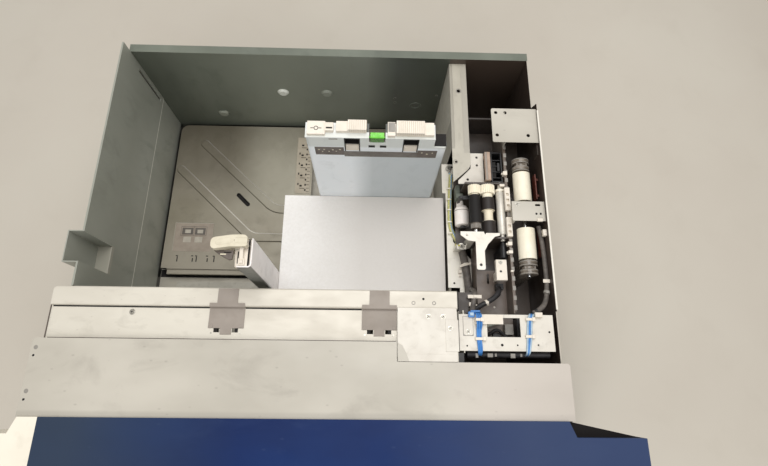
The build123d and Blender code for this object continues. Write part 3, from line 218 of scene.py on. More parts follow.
@dataclass(frozen=True)
class Finish(Surface):
    """Finish of one real material: colour with clouds, smudges and specks, grain, gloss, edges of wear and painted
    sheen, and zones, some of which are painted light and shade.
    """

    cloud: str
    dirt: str = "#4a463e"
    cloud_mm: float = 70.0
    smudge_mm: float = 22.0
    smudge: float = 0.25
    stretch: Triple = (1.0, 1.0, 1.0)
    speck_mm: float = 0.0
    speck: float = 0.5
    grain_mm: float = 1.2
    grain_height: float = 0.02
    line_mm: float = 0.0
    line: str = "#c9c1b4"
    line_axis: str = "Z"
    roughness: float = 0.45
    spread: float = 0.08
    metallic: float = 0.0
    ior: float = 1.5
    # Colour of the edges where the Bevel normal turns: pale wear, and a painted sheen where edges would catch the
    # light.
    edge_wear_and_light: str = ""
    edge_mm: float = 0.5
    zones: tuple[Zone, ...] = ()

    def build(self, made: bpy.types.Material) -> None:
        """Adds the nodes of colour, gloss, zones, grain and rounded edges.

        Args:
            made: The new material, with an empty tree.
        """
        made.diffuse_color = linear(self.colour)
        tree = made.node_tree
        space = add(tree, "ShaderNodeTexCoord")
        place = add(tree, "ShaderNodeMapping", {"Vector": space.outputs["Object"], "Scale": self.stretch}).outputs[0]
        rounding = add(tree, "ShaderNodeBevel", {"Radius": self.edge_mm * MM}, samples=4)
        colour = self.surface_colour(tree, place, rounding)
        gloss = add(tree, "ShaderNodeTexNoise", {"Vector": place, "Scale": per_mm(self.smudge_mm), "Detail": 5.0})
        roughness = add(tree, "ShaderNodeMapRange", {
            "Value": gloss.outputs[0], "From Min": GLOSS_SPAN[0], "From Max": GLOSS_SPAN[1],
            "To Min": self.roughness - self.spread, "To Max": self.roughness + self.spread}).outputs[0]
        metallic = None
        for zone in self.zones:
            mask = zone.mask(tree, space)
            colour = add(tree, "ShaderNodeMix", {
                0: mask, 6: colour, 7: linear(zone.colour)}, data_type="RGBA").outputs[2]
            if zone.roughness is not None:
                roughness = add(tree, "ShaderNodeMix", {0: mask, 2: roughness, 3: zone.roughness}).outputs[0]
            if zone.metallic is not None:
                base = self.metallic if metallic is None else metallic
                metallic = add(tree, "ShaderNodeMix", {0: mask, 2: base, 3: zone.metallic}).outputs[0]
        grain = add(tree, "ShaderNodeTexNoise", {
            "Vector": space.outputs["Object"], "Scale": per_mm(self.grain_mm), "Detail": 2.0})
        bump = add(tree, "ShaderNodeBump", {
            "Height": grain.outputs[0], "Distance": self.grain_height * MM, "Normal": rounding.outputs[0]})
        shader = add(tree, "ShaderNodeBsdfPrincipled", {
            "Base Color": colour, "Roughness": roughness, "Metallic": self.metallic if metallic is None else metallic,
            "IOR": self.ior, "Normal": bump.outputs[0]})
        add(tree, "ShaderNodeOutputMaterial", {"Surface": shader.outputs[0]})

    def surface_colour(self, tree: Tree, place: Socket, rounding: bpy.types.Node) -> Socket:
        """Builds the colour: clouds, smudges, specks, lines, and edges of wear and painted sheen.

        Args:
            tree: The material's tree.
            place: Object coordinates, stretched.
            rounding: The Bevel node, whose normal differs from the surface's near an edge.

        Returns:
            The socket with the colour.
        """
        clouds = add(tree, "ShaderNodeTexNoise", {"Vector": place, "Scale": per_mm(self.cloud_mm), "Detail": 4.0})
        colour = self.tinted(tree, linear(self.colour), self.cloud, clouds.outputs[0], CLOUD_SPAN)
        smudges = add(tree, "ShaderNodeTexNoise", {
            "Vector": place, "Scale": per_mm(self.smudge_mm), "Detail": 6.0, "Roughness": 0.6, "Distortion": 0.5})
        colour = self.tinted(tree, colour, self.dirt, smudges.outputs[0], SMUDGE_SPAN, (0.0, self.smudge))
        if self.speck_mm:
            cells = add(tree, "ShaderNodeTexVoronoi", {"Vector": place, "Scale": per_mm(self.speck_mm)})
            colour = self.tinted(tree, colour, self.dirt, cells.outputs["Distance"], SPECK_SPAN, (self.speck, 0.0))
        if self.line_mm:
            # A Wave texture repeats every 2 pi / 20 of its scale.
            lines = add(tree, "ShaderNodeTexWave", {
                "Vector": place, "Scale": math.tau / 20 * per_mm(self.line_mm),
                "Distortion": 0.4}, bands_direction=self.line_axis)
            colour = self.tinted(tree, colour, self.line, lines.outputs["Fac"], LINE_SPAN, (0.0, LINE_SHARE))
        # Edges of wear and painted sheen, lighter than the face in most finishes.
        if self.edge_wear_and_light:
            normal = add(tree, "ShaderNodeNewGeometry").outputs["Normal"]
            turn = add(tree, "ShaderNodeVectorMath", {0: rounding.outputs[0], 1: normal}, operation="DOT_PRODUCT")
            colour = self.tinted(tree, colour, self.edge_wear_and_light, turn.outputs["Value"], EDGE_WEAR_AND_LIGHT_SPAN, (0.0, EDGE_WEAR_AND_LIGHT_SHARE))
        return colour

    def tinted(self, tree: Tree, colour: object, tint: str, value: Socket, span: Pair,
               shares: Pair = (0.0, 1.0)) -> Socket:
        """Mixes a tint into the colour as a pattern's value passes through a span.

        Args:
            tree: The material's tree.
            colour: The colour so far, as a socket or as linear RGBA.
            tint: The tint, in sRGB hex.
            value: The pattern's value.
            span: Values between which the tint comes in.
            shares: Share of the tint at the span's start and end.

        Returns:
            The socket with the new colour.
        """
        share = add(tree, "ShaderNodeMapRange", {
            "Value": value, "From Min": span[0], "From Max": span[1], "To Min": shares[0], "To Max": shares[1]})
        return add(tree, "ShaderNodeMix", {
            0: share.outputs[0], 6: colour, 7: linear(tint)}, data_type="RGBA").outputs[2]


@dataclass(frozen=True)
class ClearVinyl(Surface):
    """Clear soft vinyl tube, drawn out: glossy, slightly yellow, and the wires show through it."""

    name: str = "clear_vinyl"
    slot: str = "clear_tube"
    colour: str = "#e9eccb"
    roughness: float = 0.12
    ior: float = 1.53
    ripple_mm: float = 9.0
    ripple_height: float = 0.3
    see_through: float = 0.3

    def build(self, made: bpy.types.Material) -> None:
        """Adds the nodes of the glossy, rippled skin.

        Args:
            made: The new material, with an empty tree.
        """
        tree = made.node_tree
        place = add(tree, "ShaderNodeTexCoord").outputs["Object"]
        ripple = add(tree, "ShaderNodeTexNoise", {"Vector": place, "Scale": per_mm(self.ripple_mm)})
        bump = add(tree, "ShaderNodeBump", {"Height": ripple.outputs[0], "Distance": self.ripple_height * MM})
        shader = add(tree, "ShaderNodeBsdfPrincipled", {
            "Base Color": linear(self.colour), "Roughness": self.roughness, "IOR": self.ior, "Alpha": self.see_through,
            "Normal": bump.outputs[0]})
        add(tree, "ShaderNodeOutputMaterial", {"Surface": shader.outputs[0]})


# Hot-dip galvanised sheet, rolled: dull grey metal with soft blotches and a faint grain.
GALVANISED = Finish(
    "galvanised_sheet", "zinc_sheet", "#a29d91", "#b1ac9f", "#686357", cloud_mm=45, smudge_mm=14, smudge=0.35,
    roughness=0.5, metallic=0.35, edge_wear_and_light="#c4bfb3",
    zones=(Zone((215, -175, -1), (360, 355, 12), "#6f6156", metallic=0.0),
           # Painted light on the floor pan in front of the lift plate.
           Zone((-371, -90, 0.5), (215, 2, 4), "#b3ad9f", soft=2)))
# Powder coat on sheet steel, grey-green: eggshell gloss, wiped dirt, and pale scuffs with a painted sheen along the
# edges.
WALL_PAINT = Finish(
    "grey_green_powder_coat", "grey_green_paint", "#a3a59a", "#aeb0a6", "#6d7166", cloud_mm=110, smudge_mm=35,
    smudge=0.45, stretch=(1, 1, 0.5), roughness=0.42, edge_wear_and_light="#d6d6c9",
    # Painted highlight along the lap's edge.
    zones=(Zone((-372, -80.5, 129.8), (-368, 352, 134.8), "#f4f4ea", soft=0.4, share=0.95),
           # Painted shade along the foot of the inner face.
           Zone((-371.5, -90, -1), (-369, 352, 17), "#1c1d19", facing=INTO_X, soft=5),
           Zone((-372.6, -82, 230), (-368, 352, 331), "#8b8c80", soft=70, share=0.5),
           # Painted light on the right part of the pocket.
           Zone((-372.8, -44, 225), (-368, 4, 233.4), "#b1ab9d", share=0.6),
           Zone((-396, -46, 231), (-371.2, 5, 234), "#9b9789", facing=UP, share=0.8),
           # Painted shade on the front wall under the corner bracket's left end.
           Zone((200, -187, 190), (223, -160, 332), "#16120f")))
# The same coat on the back wall, painted darker as the shade under the machine, and darker still towards the feed side
# as painted shade.
BACK_PAINT = Finish(
    "grey_green_powder_coat_shaded", "grey_green_paint", "#686d62", "#767b6f", "#464a40", cloud_mm=120, smudge_mm=45,
    smudge=0.5, stretch=(1, 1, 0.5), roughness=0.38, edge_wear_and_light="#9a9c8c",
    # Painted pool of light on the middle of the wall.
    zones=(Zone((-150, 340, 90), (80, 352.5, 330), "#8c9083", facing=INTO_Y, soft=110, share=0.7),
           # Painted shade towards the feed side.
           Zone((120, 340, -1), (216, 352.5, 330), "#3c4138", facing=INTO_Y, soft=60, share=0.85),
           # Painted highlights on the three bosses.
           Zone((-125, 330, 158), (-99, 351.4, 186), "#f2f3e8", share=0.85),
           Zone((-34, 330, 158), (-10, 351.4, 186), "#aeb1a4", share=0.5),
           Zone((-267, 330, 70), (-247, 351.4, 88), "#a9ab9d", share=0.6),
           # Painted shade along the foot of the wall.
           Zone((-372, 345, -1), (216, 353, 18), "#1c1d19", facing=INTO_Y, soft=5),
           Zone((216, 340, -1), (360, 352.5, 330), "#4d4138", facing=INTO_Y),
           # Painted shade in the left corner.
           Zone((-372, 340, -1), (-330, 352.5, 330), "#4a4e44", facing=INTO_Y, soft=60, share=0.6)))
# Zinc-plated sheet under a thin clear lacquer, pressed: warm pale grey, wiped clouds, satin.
RAIL_SHEET = Finish(
    "lacquered_plated_sheet", "light_sheet", "#cfc8ba", "#dad4c6", "#9a9385", cloud_mm=90, smudge_mm=24, smudge=0.3,
    stretch=(0.6, 1.4, 1), speck_mm=11, speck=0.25, roughness=0.36, metallic=0.08, edge_wear_and_light="#fbf7ec",
    zones=(Zone((-60, -200, 320), (220, -80, 331), "#c4bdaf", soft=160, share=0.6),))
# The same sheet beside the feed bay, with a wiped grey film.
STRIP_SHEET = Finish(
    "lacquered_plated_strip", "light_sheet", "#b0aa9b", "#bdb7a8", "#837d6f", cloud_mm=40, smudge_mm=15, smudge=0.4,
    stretch=(1.4, 0.6, 1), roughness=0.38, edge_wear_and_light="#efe9dc",
    zones=(Zone((236, 170, 284), (246, 352, 286), "#a7a195", soft=1.5, share=0.7),
           Zone((214, 178, 284), (219, 352, 286), "#8f8a7e", soft=1.5, share=0.6)))
# Enamel paint on flat sheet, sprayed: warm grey, cloudy with handling, fine grey rub marks along the edge.
COVER_PAINT = Finish(
    "warm_grey_enamel", "beige_paint", "#b5afa2", "#c6c0b3", "#867f75", cloud_mm=120, smudge_mm=55, smudge=0.45,
    stretch=(0.55, 1, 1), speck_mm=16, speck=0.3, roughness=0.42, edge_wear_and_light="#e9e3d7",
    zones=(Zone((-420, -264, 325), (370, -258, 333), "#9c978c", soft=4, share=0.4),
           Zone((262, -250, 325), (372, -190, 333), "#c9beb6", soft=90, share=0.5)))
# ABS, injection moulded, matt: grey-brown with a fine even texture.
INSERT_PLASTIC = Finish(
    "grey_brown_abs", "warm_grey_plastic", "#92887e", "#9c9288", "#776e64", cloud_mm=30, roughness=0.62, grain_mm=0.9,
    grain_height=0.03, edge_wear_and_light="#b8afa5")
# Enamel on the small plates, sprayed: light cream, clean, with grey finger marks.
CREAM_PAINT = Finish(
    "cream_enamel", "cream_paint", "#e8e2d5", "#eee8db", "#a8a093", cloud_mm=40, smudge_mm=12, smudge=0.3, speck_mm=9,
    speck=0.25, roughness=0.4, edge_wear_and_light="#faf6ec")
# The same enamel on the upper plates: a shade darker, with more finger marks.
TOP_CREAM = Finish(
    "cream_enamel_darker", "cream_paint", "#d3ccc0", "#ddd7cb", "#a29a8e", cloud_mm=45, smudge_mm=14, smudge=0.35,
    speck_mm=9, speck=0.25, roughness=0.4, edge_wear_and_light="#f3eee3")
# Textured ABS panel, injection moulded: navy, with pale dust and rub marks, its pebbles drawn coarse to show.
NAVY_PLASTIC = Finish(
    "navy_textured_abs", "navy_plastic", "#0a2353", "#0f2c60", "#3f5074", cloud_mm=150, smudge_mm=60, smudge=0.2,
    stretch=(0.7, 1.5, 1), speck_mm=26, speck=0.2, roughness=0.5, grain_mm=1.6, grain_height=0.06, ior=1.27,
    edge_wear_and_light="#3d5079",
    zones=(Zone((-100, -350, 258), (100, -305, 298), "#0a1222", soft=2, share=0.5),
           # Painted reflections, paler and greyer, at the left and the right end.
           Zone((-470, -345, 200), (-330, -250, 340), "#36414c", soft=230, share=0.75),
           Zone((300, -345, 200), (470, -250, 340), "#3b4866", soft=200, share=0.75),
           # Painted shadow under the rear edge of the right wing.
           Zone((340, -345, 321.3), (466, -255, 322.7), "#110c0b", facing=UP)))
# ABS end trim, injection moulded: cream, satin, a little yellowed.
CREAM_ABS = Finish(
    "cream_abs", "cream_plastic", "#efe7d6", "#f5eedd", "#b5ab98", smudge=0.2, roughness=0.42, grain_mm=1.4,
    grain_height=0.03, edge_wear_and_light="#fbf6ea")
# The same ABS on the release paddle: deeper cream, clouded by fingers.
LEVER_ABS = Finish(
    "cream_abs_lever", "cream_plastic", "#cfc6ae", "#d8cfb8", "#a39981", cloud_mm=14, smudge_mm=6, roughness=0.42,
    edge_wear_and_light="#efe7d2")
# The paddle's web and ribs, moulded in one with it: the cream ABS painted brown-grey as shade, with dust on it.
SHADED_ABS = Finish(
    "cream_abs_painted_shade", "cream_plastic", "#7d7460", "#8f856f", "#4d4538", cloud_mm=9, smudge_mm=4, smudge=0.4,
    edge_wear_and_light="#c9bfa8")
# Black-brown paint on sheet steel, dipped: dark, greasy satin with brown paper dust on it.
DARK_PAINT = Finish(
    "black_brown_dipped_paint", "black_sheet", "#3a322c", "#493f37", "#6b5c4e", cloud_mm=50, smudge_mm=16, smudge=0.5,
    speck_mm=7, speck=0.35, roughness=0.4, edge_wear_and_light="#5d5248")
# The same paint deep in the feed bay, painted nearly black as shade: dull and even.
BULKHEAD_PAINT = Finish(
    "black_brown_paint_shaded", "black_sheet", "#2a2420", "#332c27", "#4b4038", cloud_mm=50, smudge_mm=16, smudge=0.4,
    roughness=0.5, edge_wear_and_light="#2f2823")
# The same paint on the shaft plates, with the pale front of a folded foot.
SHAFT_PLATE = replace(
    DARK_PAINT, name="black_brown_plate_pale_foot", speck_mm=0.0,
    zones=(Zone((215, 9, 200), (247, 15, 292), "#cac4b7", facing=INTO_Y, share=0.9),))
# The same paint rubbed thin on the shelf: brown, with pale edges of wear and painted sheen.
SHELF_PAINT = Finish(
    "brown_worn_dipped_paint", "black_sheet", "#5a4d44", "#6b5d52", "#8c7d6f", cloud_mm=40, smudge_mm=14, smudge=0.5,
    speck_mm=7, speck=0.35, roughness=0.4, edge_wear_and_light="#9a8d80")
# Coated sheet steel of the wall beside the paper, rolled: pale to the paper, dark towards the feed bay.
FEED_WALL = Finish(
    "light_sheet_dark_backed", "light_sheet", "#cfc9bb", "#d8d2c4", "#8d8678", smudge=0.3,
    zones=(Zone((214.9, -170, 0), (217, 236, 284), "#2b2521"), Zone((215.5, -109, 284), (243, -75, 286), "#3f362f")))
# Enamel on the right wall, sprayed: pale outside, dark and greasy inside.
RIGHT_WALL = Finish(
    "pale_sheet_dark_inside", "warm_grey_paint", "#b7afa1", "#c2baac", "#7d766a", smudge=0.35, roughness=0.42,
    edge_wear_and_light="#e8e2d4",
    zones=(Zone((355, -262, 0), (357.6, 353, 329), "#41362f", facing=(-1, 0, 0)),))
# The folded inner channel: lighter brown on its floor, from wear where the sheets pass over and from a painted sheen.
CHANNEL_PAINT = Finish(
    "brown_black_dipped_paint", "black_sheet", "#4f443b", "#63564b", "#8c8072", cloud_mm=60, smudge_mm=20, smudge=0.5,
    stretch=(1, 0.4, 1), roughness=0.36, edge_wear_and_light="#978b7d",
    zones=(Zone((303, -100, 195), (357, 240, 199), "#5a4e45", soft=50, share=0.7),))
# Pressed wool felt strip, cut: soft, tan, no gloss, small fibres drawn coarse so that they show.
TAN_FELT = Finish(
    "tan_wool_felt", "tan_felt", "#ad9684", "#bba593", "#8a7565", cloud_mm=12, smudge_mm=4, smudge=0.4, grain_mm=0.8,
    grain_height=0.25, roughness=0.95, spread=0.03, ior=1.45)
# Polyacetal, injection moulded: waxy white, faintly pink on the solenoid.
PALE_PLASTIC = Finish(
    "pale_pink_polyacetal", "pale_plastic", "#fbf1e8", "#fdf6ef", "#ada094", cloud_mm=14, smudge_mm=6, smudge=0.3,
    roughness=0.38, edge_wear_and_light="#efe6de")
# The same on caps, clips and ties: warm white, satin, with faint handling marks.
WHITE_PLASTIC = Finish(
    "warm_white_polyacetal", "white_plastic", "#dfd5c5", "#e7ddce", "#a99e8d", cloud_mm=18, smudge_mm=7, smudge=0.22,
    roughness=0.36, grain_height=0.01, edge_wear_and_light="#fbf5ea")
# Nylon, injection moulded: black, a soft painted sheen on the edges.
BLACK_PLASTIC = Finish(
    "black_nylon", "black_plastic", "#191819", "#222122", "#45413d", cloud_mm=12, smudge_mm=6, smudge=0.4,
    roughness=0.48, edge_wear_and_light="#4b4844")
# Nylon of the take-away bearings, injection moulded: smoky brown, glossy, with lines of painted shade for the grooves
# between its rings.
BEARING_PLASTIC = Finish(
    "smoky_brown_nylon", "black_plastic", "#6f655a", "#8f8578", "#2c2723", cloud_mm=9, smudge_mm=5, smudge=0.6,
    roughness=0.3, edge_wear_and_light="#a99f92", line_mm=4.4, line="#2a2521", line_axis="Y")
# Cloth tape over a wire bundle, wound: black, with a painted sheen along the ridge of each turn.
BLACK_TAPE = Finish(
    "black_cloth_tape", "black_tape", "#1d1c1d", "#292729", "#4d4a48", cloud_mm=8, smudge_mm=5, smudge=0.5,
    roughness=0.62, line_mm=7.0, line="#353234", line_axis="Y", grain_mm=0.9, grain_height=0.08)
# Zinc-plated plate with a pressed pattern, rolled: brownish grey, scratched by many stacks.
LIFT_PLATE = Finish(
    "brown_grey_plated_plate", "zinc_sheet", "#8c8573", "#9b9483", "#655f51", cloud_mm=130, smudge_mm=26, smudge=0.4,
    speck_mm=13, speck=0.3, roughness=0.36, metallic=0.2, edge_wear_and_light="#cbc4b5", edge_mm=1.2,
    # Painted highlight on the ribs' rear flanks, painted shade on their front flanks.
    zones=(Zone((-400, 60, 30.2), (60, 330, 32.1), "#fffaf0", facing=(0.4, 0.92, 0), soft=0.3),
           Zone((-400, 60, 30.2), (60, 330, 32.1), "#4a4437", facing=(-0.4, -0.92, 0), soft=0.3, share=0.5),
           # Painted pool of light in the middle.
           Zone((-190, 170, 20), (-100, 345, 33), "#a8a494", soft=50, share=0.5),
           # Painted shadow at the rear left.
           Zone((-364, 230, 20), (-250, 345, 31), "#5b5547", soft=90, share=0.65),
           # Painted light at the front left.
           Zone((-364, 0, 20), (-240, 60, 31), "#a79f90", soft=60, share=0.5)))
# Polyester film on the lift plate, printed: sand-coloured, satin, worn by the stacks.
SCALE_STRIP = Finish(
    "printed_scale_film", "warm_grey_paint", "#b3a894", "#beb39f", "#8b806f", cloud_mm=20, roughness=0.5)
# Copy paper, 80 g, in a stack: matt white top, and the sheets' edges as fine lines, drawn one in ten.
PAPER = Finish(
    "copy_paper", "paper", "#f8f5f1", "#fbf8f5", "#e9e4df", cloud_mm=140, smudge_mm=60, roughness=0.85, spread=0.03,
    grain_mm=1.0, grain_height=0.004, line_mm=1.3, line="#ddd7cf",
    # Painted shade towards the right of the stack.
    zones=(Zone((60, -95, 29), (212, 120, 193), "#d3cdc6", soft=110, share=0.75),))
# Enamel on the guides, sprayed: blue-white, satin, rubbed grey where the sheets slide.
GUIDE_PAINT = Finish(
    "blue_white_enamel", "blue_grey_paint", "#f1f7fb", "#f6fafd", "#b9bfc0", cloud_mm=60, smudge_mm=20, smudge=0.3,
    stretch=(1, 1, 0.5), roughness=0.38, edge_wear_and_light="#f3f5f5",
    zones=(Zone((-20, 118, 410), (190, 121, 436), "#b9bcae", soft=8, share=0.5),
           Zone((-26, 119, 360), (190, 145, 438), "#c9c6b8", facing=UP, share=0.4),
           # Painted shade towards the right end of the face, on the folded flank and in the latch's notch.
           Zone((75, 118, 180), (190, 121, 372), "#a2abad", soft=35, share=0.62),
           Zone((166, 120.6, 300), (190, 146, 438), "#40453e", share=0.9),
           Zone((62, 128.5, 380), (99, 146, 438), "#34382f", share=0.95)))
# The same enamel on the end guide: faintly lilac white, with painted shade on its front flank and inside its post.
POST_PAINT = Finish(
    "lilac_white_enamel", "lilac_grey_paint", "#ece5e1", "#f2ece8", "#9d9792", cloud_mm=35, smudge_mm=14, smudge=0.35,
    roughness=0.4, edge_wear_and_light="#e9e4df",
    zones=(Zone((-111, -70, 10), (-88, -66, 415), "#5f625b", facing=INTO_Y, share=0.9),
           Zone((-109, -66, 10), (-91, -27, 395), "#6c6e66", share=0.6)))
# ABS of the latch, injection moulded: fresh green, glossy, with painted shade on its front.
GREEN_PLASTIC = Finish(
    "green_abs", "green_plastic", "#5fc022", "#6dcd2b", "#3c7a1c", cloud_mm=9, smudge_mm=4, smudge=0.2, roughness=0.28,
    edge_wear_and_light="#93e05c",
    zones=(Zone((70, 117, 423), (92, 129, 435.2), "#2c6214", facing=INTO_Y, soft=1, share=0.85),))
# Stainless steel, turned and ground: bright, with the rings of the lathe drawn coarse so that they show.
BRIGHT_STEEL = Finish(
    "ground_stainless_steel", "bright_steel", "#b9babb", "#c9caca", "#83837f", cloud_mm=10, smudge_mm=5, smudge=0.3,
    roughness=0.24, metallic=1.0, line_mm=1.4, line="#b0b1b0", line_axis="Y")
# Silicone rubber, moulded: cream, matt, faint bands where the sheets run.
CREAM_RUBBER = Finish(
    "cream_silicone_rubber", "cream_rubber", "#efe6cf", "#f8f0dc", "#c3b796", cloud_mm=22, smudge_mm=8, smudge=0.3,
    stretch=(1, 0.5, 1), roughness=0.6, edge_wear_and_light="#fffaec")
# Zinc-plated steel of screws and terminals, formed: small hard glints, dull in between.
PLATED_STEEL = Finish(
    "bright_zinc_plated_steel", "bright_steel", "#a9a59b", "#b9b5ab", "#6f6b62", cloud_mm=6, smudge_mm=3, smudge=0.4,
    roughness=0.34, metallic=0.9)
# Shade inside holes, slots and sockets: matt, almost black.
DARK_RECESS = Finish("shaded_recess", "black_plastic", "#171412", "#201c19", "#0e0c0b", cloud_mm=8, roughness=0.8)
# Polyester film, printed dark brown: satin, faintly dusty.
BROWN_FILM = Finish(
    "dark_brown_film", "black_plastic", "#554b43", "#635850", "#3c352f", cloud_mm=15, smudge_mm=6, smudge=0.4)
# The same film in brown-grey, on the guide's band and the bare label.
BAND_FILM = Finish(
    "brown_grey_film", "black_plastic", "#5f5851", "#6c655d", "#4a433c", cloud_mm=15, smudge_mm=6, smudge=0.4,
    roughness=0.42)
# Phenolic board of the roller guards, pressed and cut: dark red-brown, satin.
RED_BROWN = Finish("red_brown_phenolic", "black_plastic", "#5a2c20", "#6a372a", "#2c1712", cloud_mm=14, smudge_mm=6)
# Nylon of the relay, injection moulded: grey-green, satin, paler along its edges with wear and a painted sheen.
GREY_GREEN_PLASTIC = Finish(
    "grey_green_nylon", "black_plastic", "#646a60", "#72786d", "#393d37", cloud_mm=10, smudge_mm=5, smudge=0.4,
    edge_wear_and_light="#8d9388")
# Braided polyester sleeve over a wire bundle: brown-grey, a weave of small cells.
BRAID = Finish(
    "brown_grey_braided_sleeve", "black_tape", "#57514c", "#6d665f", "#2b2826", cloud_mm=9, smudge_mm=4, smudge=0.7,
    roughness=0.6, speck_mm=2.4, speck=0.7, grain_mm=1.5, grain_height=0.25)
# Nylon of rings and small trim, injection moulded: mid grey, satin.
GREY_PLASTIC = Finish(
    "mid_grey_nylon", "warm_grey_plastic", "#8a857d", "#97928a", "#5d5952", cloud_mm=8, smudge=0.3, edge_wear_and_light="#b8b3ab")
# The same nylon on the guide tracks: pale grey and dusty.
TRACK_PLASTIC = Finish(
    "pale_grey_nylon", "warm_grey_plastic", "#aaa598", "#b6b1a4", "#6d6960", cloud_mm=30, smudge_mm=10, smudge=0.4,
    edge_wear_and_light="#c9c4b7")
# Vinyl skin of a wire, drawn: clear mid blue, satin.
BLUE_WIRE = Finish("blue_vinyl_wire", "black_tape", "#3d7cc0", "#4c8bcf", "#23507f", cloud_mm=9, roughness=0.4)
# The fine ribs of the caps, in the same polyacetal: painted a little darker as shade, so that they show.
CAP_RIB = Finish("shaded_polyacetal_rib", "white_plastic", "#cdc1ae", "#d6cab8", "#9d9180", cloud_mm=12, roughness=0.4)
# Vinyl skin of a wire, drawn: pale, greyed blue, satin.
PALE_BLUE_WIRE = Finish(
    "pale_blue_vinyl_wire", "black_tape", "#9db6c8", "#b3c8d6", "#6f8799", cloud_mm=9, roughness=0.4)
# Vinyl skin of a wire, drawn: yellow-green, as in the clear tube.
YELLOW_WIRE = Finish(
    "yellow_green_vinyl_wire", "clear_tube", "#cfc243", "#ddd157", "#8b8833", cloud_mm=7, roughness=0.4)
# Vinyl skin of a cable, drawn: pale grey-green, satin.
GREY_WIRE = Finish("grey_green_vinyl_cable", "black_tape", "#aaac9f", "#bbbdb0", "#6c6f65", cloud_mm=9, roughness=0.42)
# Polyester label film, bare: taupe, satin.
LABEL_FILM = Finish("bare_label_film", "warm_grey_paint", "#9f9283", "#a99c8d", "#85796b", cloud_mm=14, smudge=0.3)
# Empty fields of the same label: a paler taupe.
LABEL_FIELD = Finish("pale_label_field", "warm_grey_paint", "#b9b1a2", "#c3bbac", "#9a9283", cloud_mm=9)
# Soft vinyl of the clear tube, drawn: glossy, slightly yellow, and the wires show through it.
CLEAR_VINYL = ClearVinyl()

# Steel shaft, ground bright, with the black feed rubber and the grey-brown collar as zones on it.
FEED_ROLLER = Finish(
    "ground_steel_with_feed_rubber", "black_rubber", "#bdbdbb", "#cfcfcd", "#8b8b88", smudge_mm=5, roughness=0.26,
    metallic=1.0, cloud_mm=8, grain_mm=0.8, grain_height=0.03,
    zones=(Zone((238, 38.02, 277), (260, 89, 299), "#110d0b", roughness=0.75, metallic=0.0),
           Zone((239, 28, 277), (259, 38, 299), "#75695d", roughness=0.55, metallic=0.0)))
# The same shaft with two brown-black rubbers and the cream hub between them.
PULL_ROLLER = replace(
    FEED_ROLLER, name="ground_steel_with_pull_rubber",
    zones=(Zone((258, 19.9, 275), (284, 42.05, 301), "#261f1c", roughness=0.6, metallic=0.0),
           Zone((258, 60.95, 275), (284, 83.1, 301), "#261f1c", roughness=0.6, metallic=0.0),
           Zone((258, 42.05, 275), (284, 60.95, 301), "#eadfc6", roughness=0.5, metallic=0.0)))
# Steel idler, turned: satin pale grey, with the white moulded collar at its end.
IDLER = Finish(
    "satin_steel_with_white_collar", "bright_steel", "#cfcabf", "#dcd7cc", "#8f8b80", smudge_mm=6, smudge=0.4,
    roughness=0.42, metallic=0.25, cloud_mm=9,
    zones=(Zone((284, 94.9, 279), (301, 99.5, 297), "#eee6d6", roughness=0.4, metallic=0.0),))
# Sealed screed, trowelled: pale, even, with no gloss to speak of.
SCREED = Finish(
    "pale_screed", "warm_grey_paint", "#cbc3b6", "#cfc8bb", "#bfb7aa", cloud_mm=400, smudge_mm=90, smudge=0.2,
    roughness=0.8)

# Finish of each node of the frame that keeps its own solid
NODE_FINISHES: dict[str, Finish] = {
    "floor_pan": GALVANISED, "left_wall": WALL_PAINT, "back_wall": BACK_PAINT, "front_wall": WALL_PAINT,
    "panel_plate": GALVANISED, "right_wall": RIGHT_WALL, "front_rail": RAIL_SHEET, "rail_inserts": INSERT_PLASTIC,
    "rail_end_plate": TOP_CREAM, "front_cover": COVER_PAINT, "front_panel": NAVY_PLASTIC,
    "panel_end_trim": CREAM_ABS, "slide_rails": GALVANISED, "feed_side_wall": FEED_WALL, "feed_ledge": CREAM_PAINT,
    "feed_rear_strip": STRIP_SHEET, "bulkheads": BULKHEAD_PAINT, "feed_deck": DARK_PAINT,
    "roller_channel": CHANNEL_PAINT, "channel_cover": COVER_PAINT, "upper_bracket": TOP_CREAM,
    "felt_bar": TAN_FELT, "sensor_block": BLACK_PLASTIC, "shaft_plates": SHAFT_PLATE, "tee_bracket": CREAM_PAINT,
    "feed_comb": WHITE_PLASTIC, "feed_shelf": SHELF_PAINT, "terminal_blocks": WHITE_PLASTIC,
    "takeaway_bearings": BEARING_PLASTIC, "roller_bracket": COVER_PAINT, "corner_bracket": TOP_CREAM,
    "guide_tracks": TRACK_PLASTIC, "lift_plate": LIFT_PLATE, "plate_scale": SCALE_STRIP, "paper_stack": PAPER,
    "rear_side_guide": GUIDE_PAINT, "guide_caps": WHITE_PLASTIC, "guide_latch": GREEN_PLASTIC,
    "front_side_guide": GUIDE_PAINT, "end_guide": POST_PAINT, "end_guide_head": WHITE_PLASTIC,
    "feed_roller": FEED_ROLLER, "feed_gear": CREAM_RUBBER, "pull_roller": PULL_ROLLER, "pull_gear": CREAM_RUBBER,
    "idler_roller": IDLER, "takeaway_shaft": BRIGHT_STEEL, "takeaway_rollers": CREAM_RUBBER,
}


def linked(name: str, data: bpy.types.ID) -> bpy.types.Object:
    """Makes an object and links it into the scene.

    Args:
        name: Its name.
        data: Its mesh, curve, lamp or camera.

    Returns:
        The new object.
    """
    made = bpy.data.objects.new(name, data)
    bpy.context.scene.collection.objects.link(made)
    return made


def settle(piece: bpy.types.Object, body: Body) -> bpy.types.Object:
    """Sets a finished piece on its body.

    Args:
        piece: The object, already in place.
        body: The body that it rides on.

    Returns:
        The same object.
    """
    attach(piece, body.value)
    LOG.info("%s on %s: %d vertices", piece.name, body.value,
             len(piece.data.vertices) if piece.type == "MESH" else 0)
    return piece


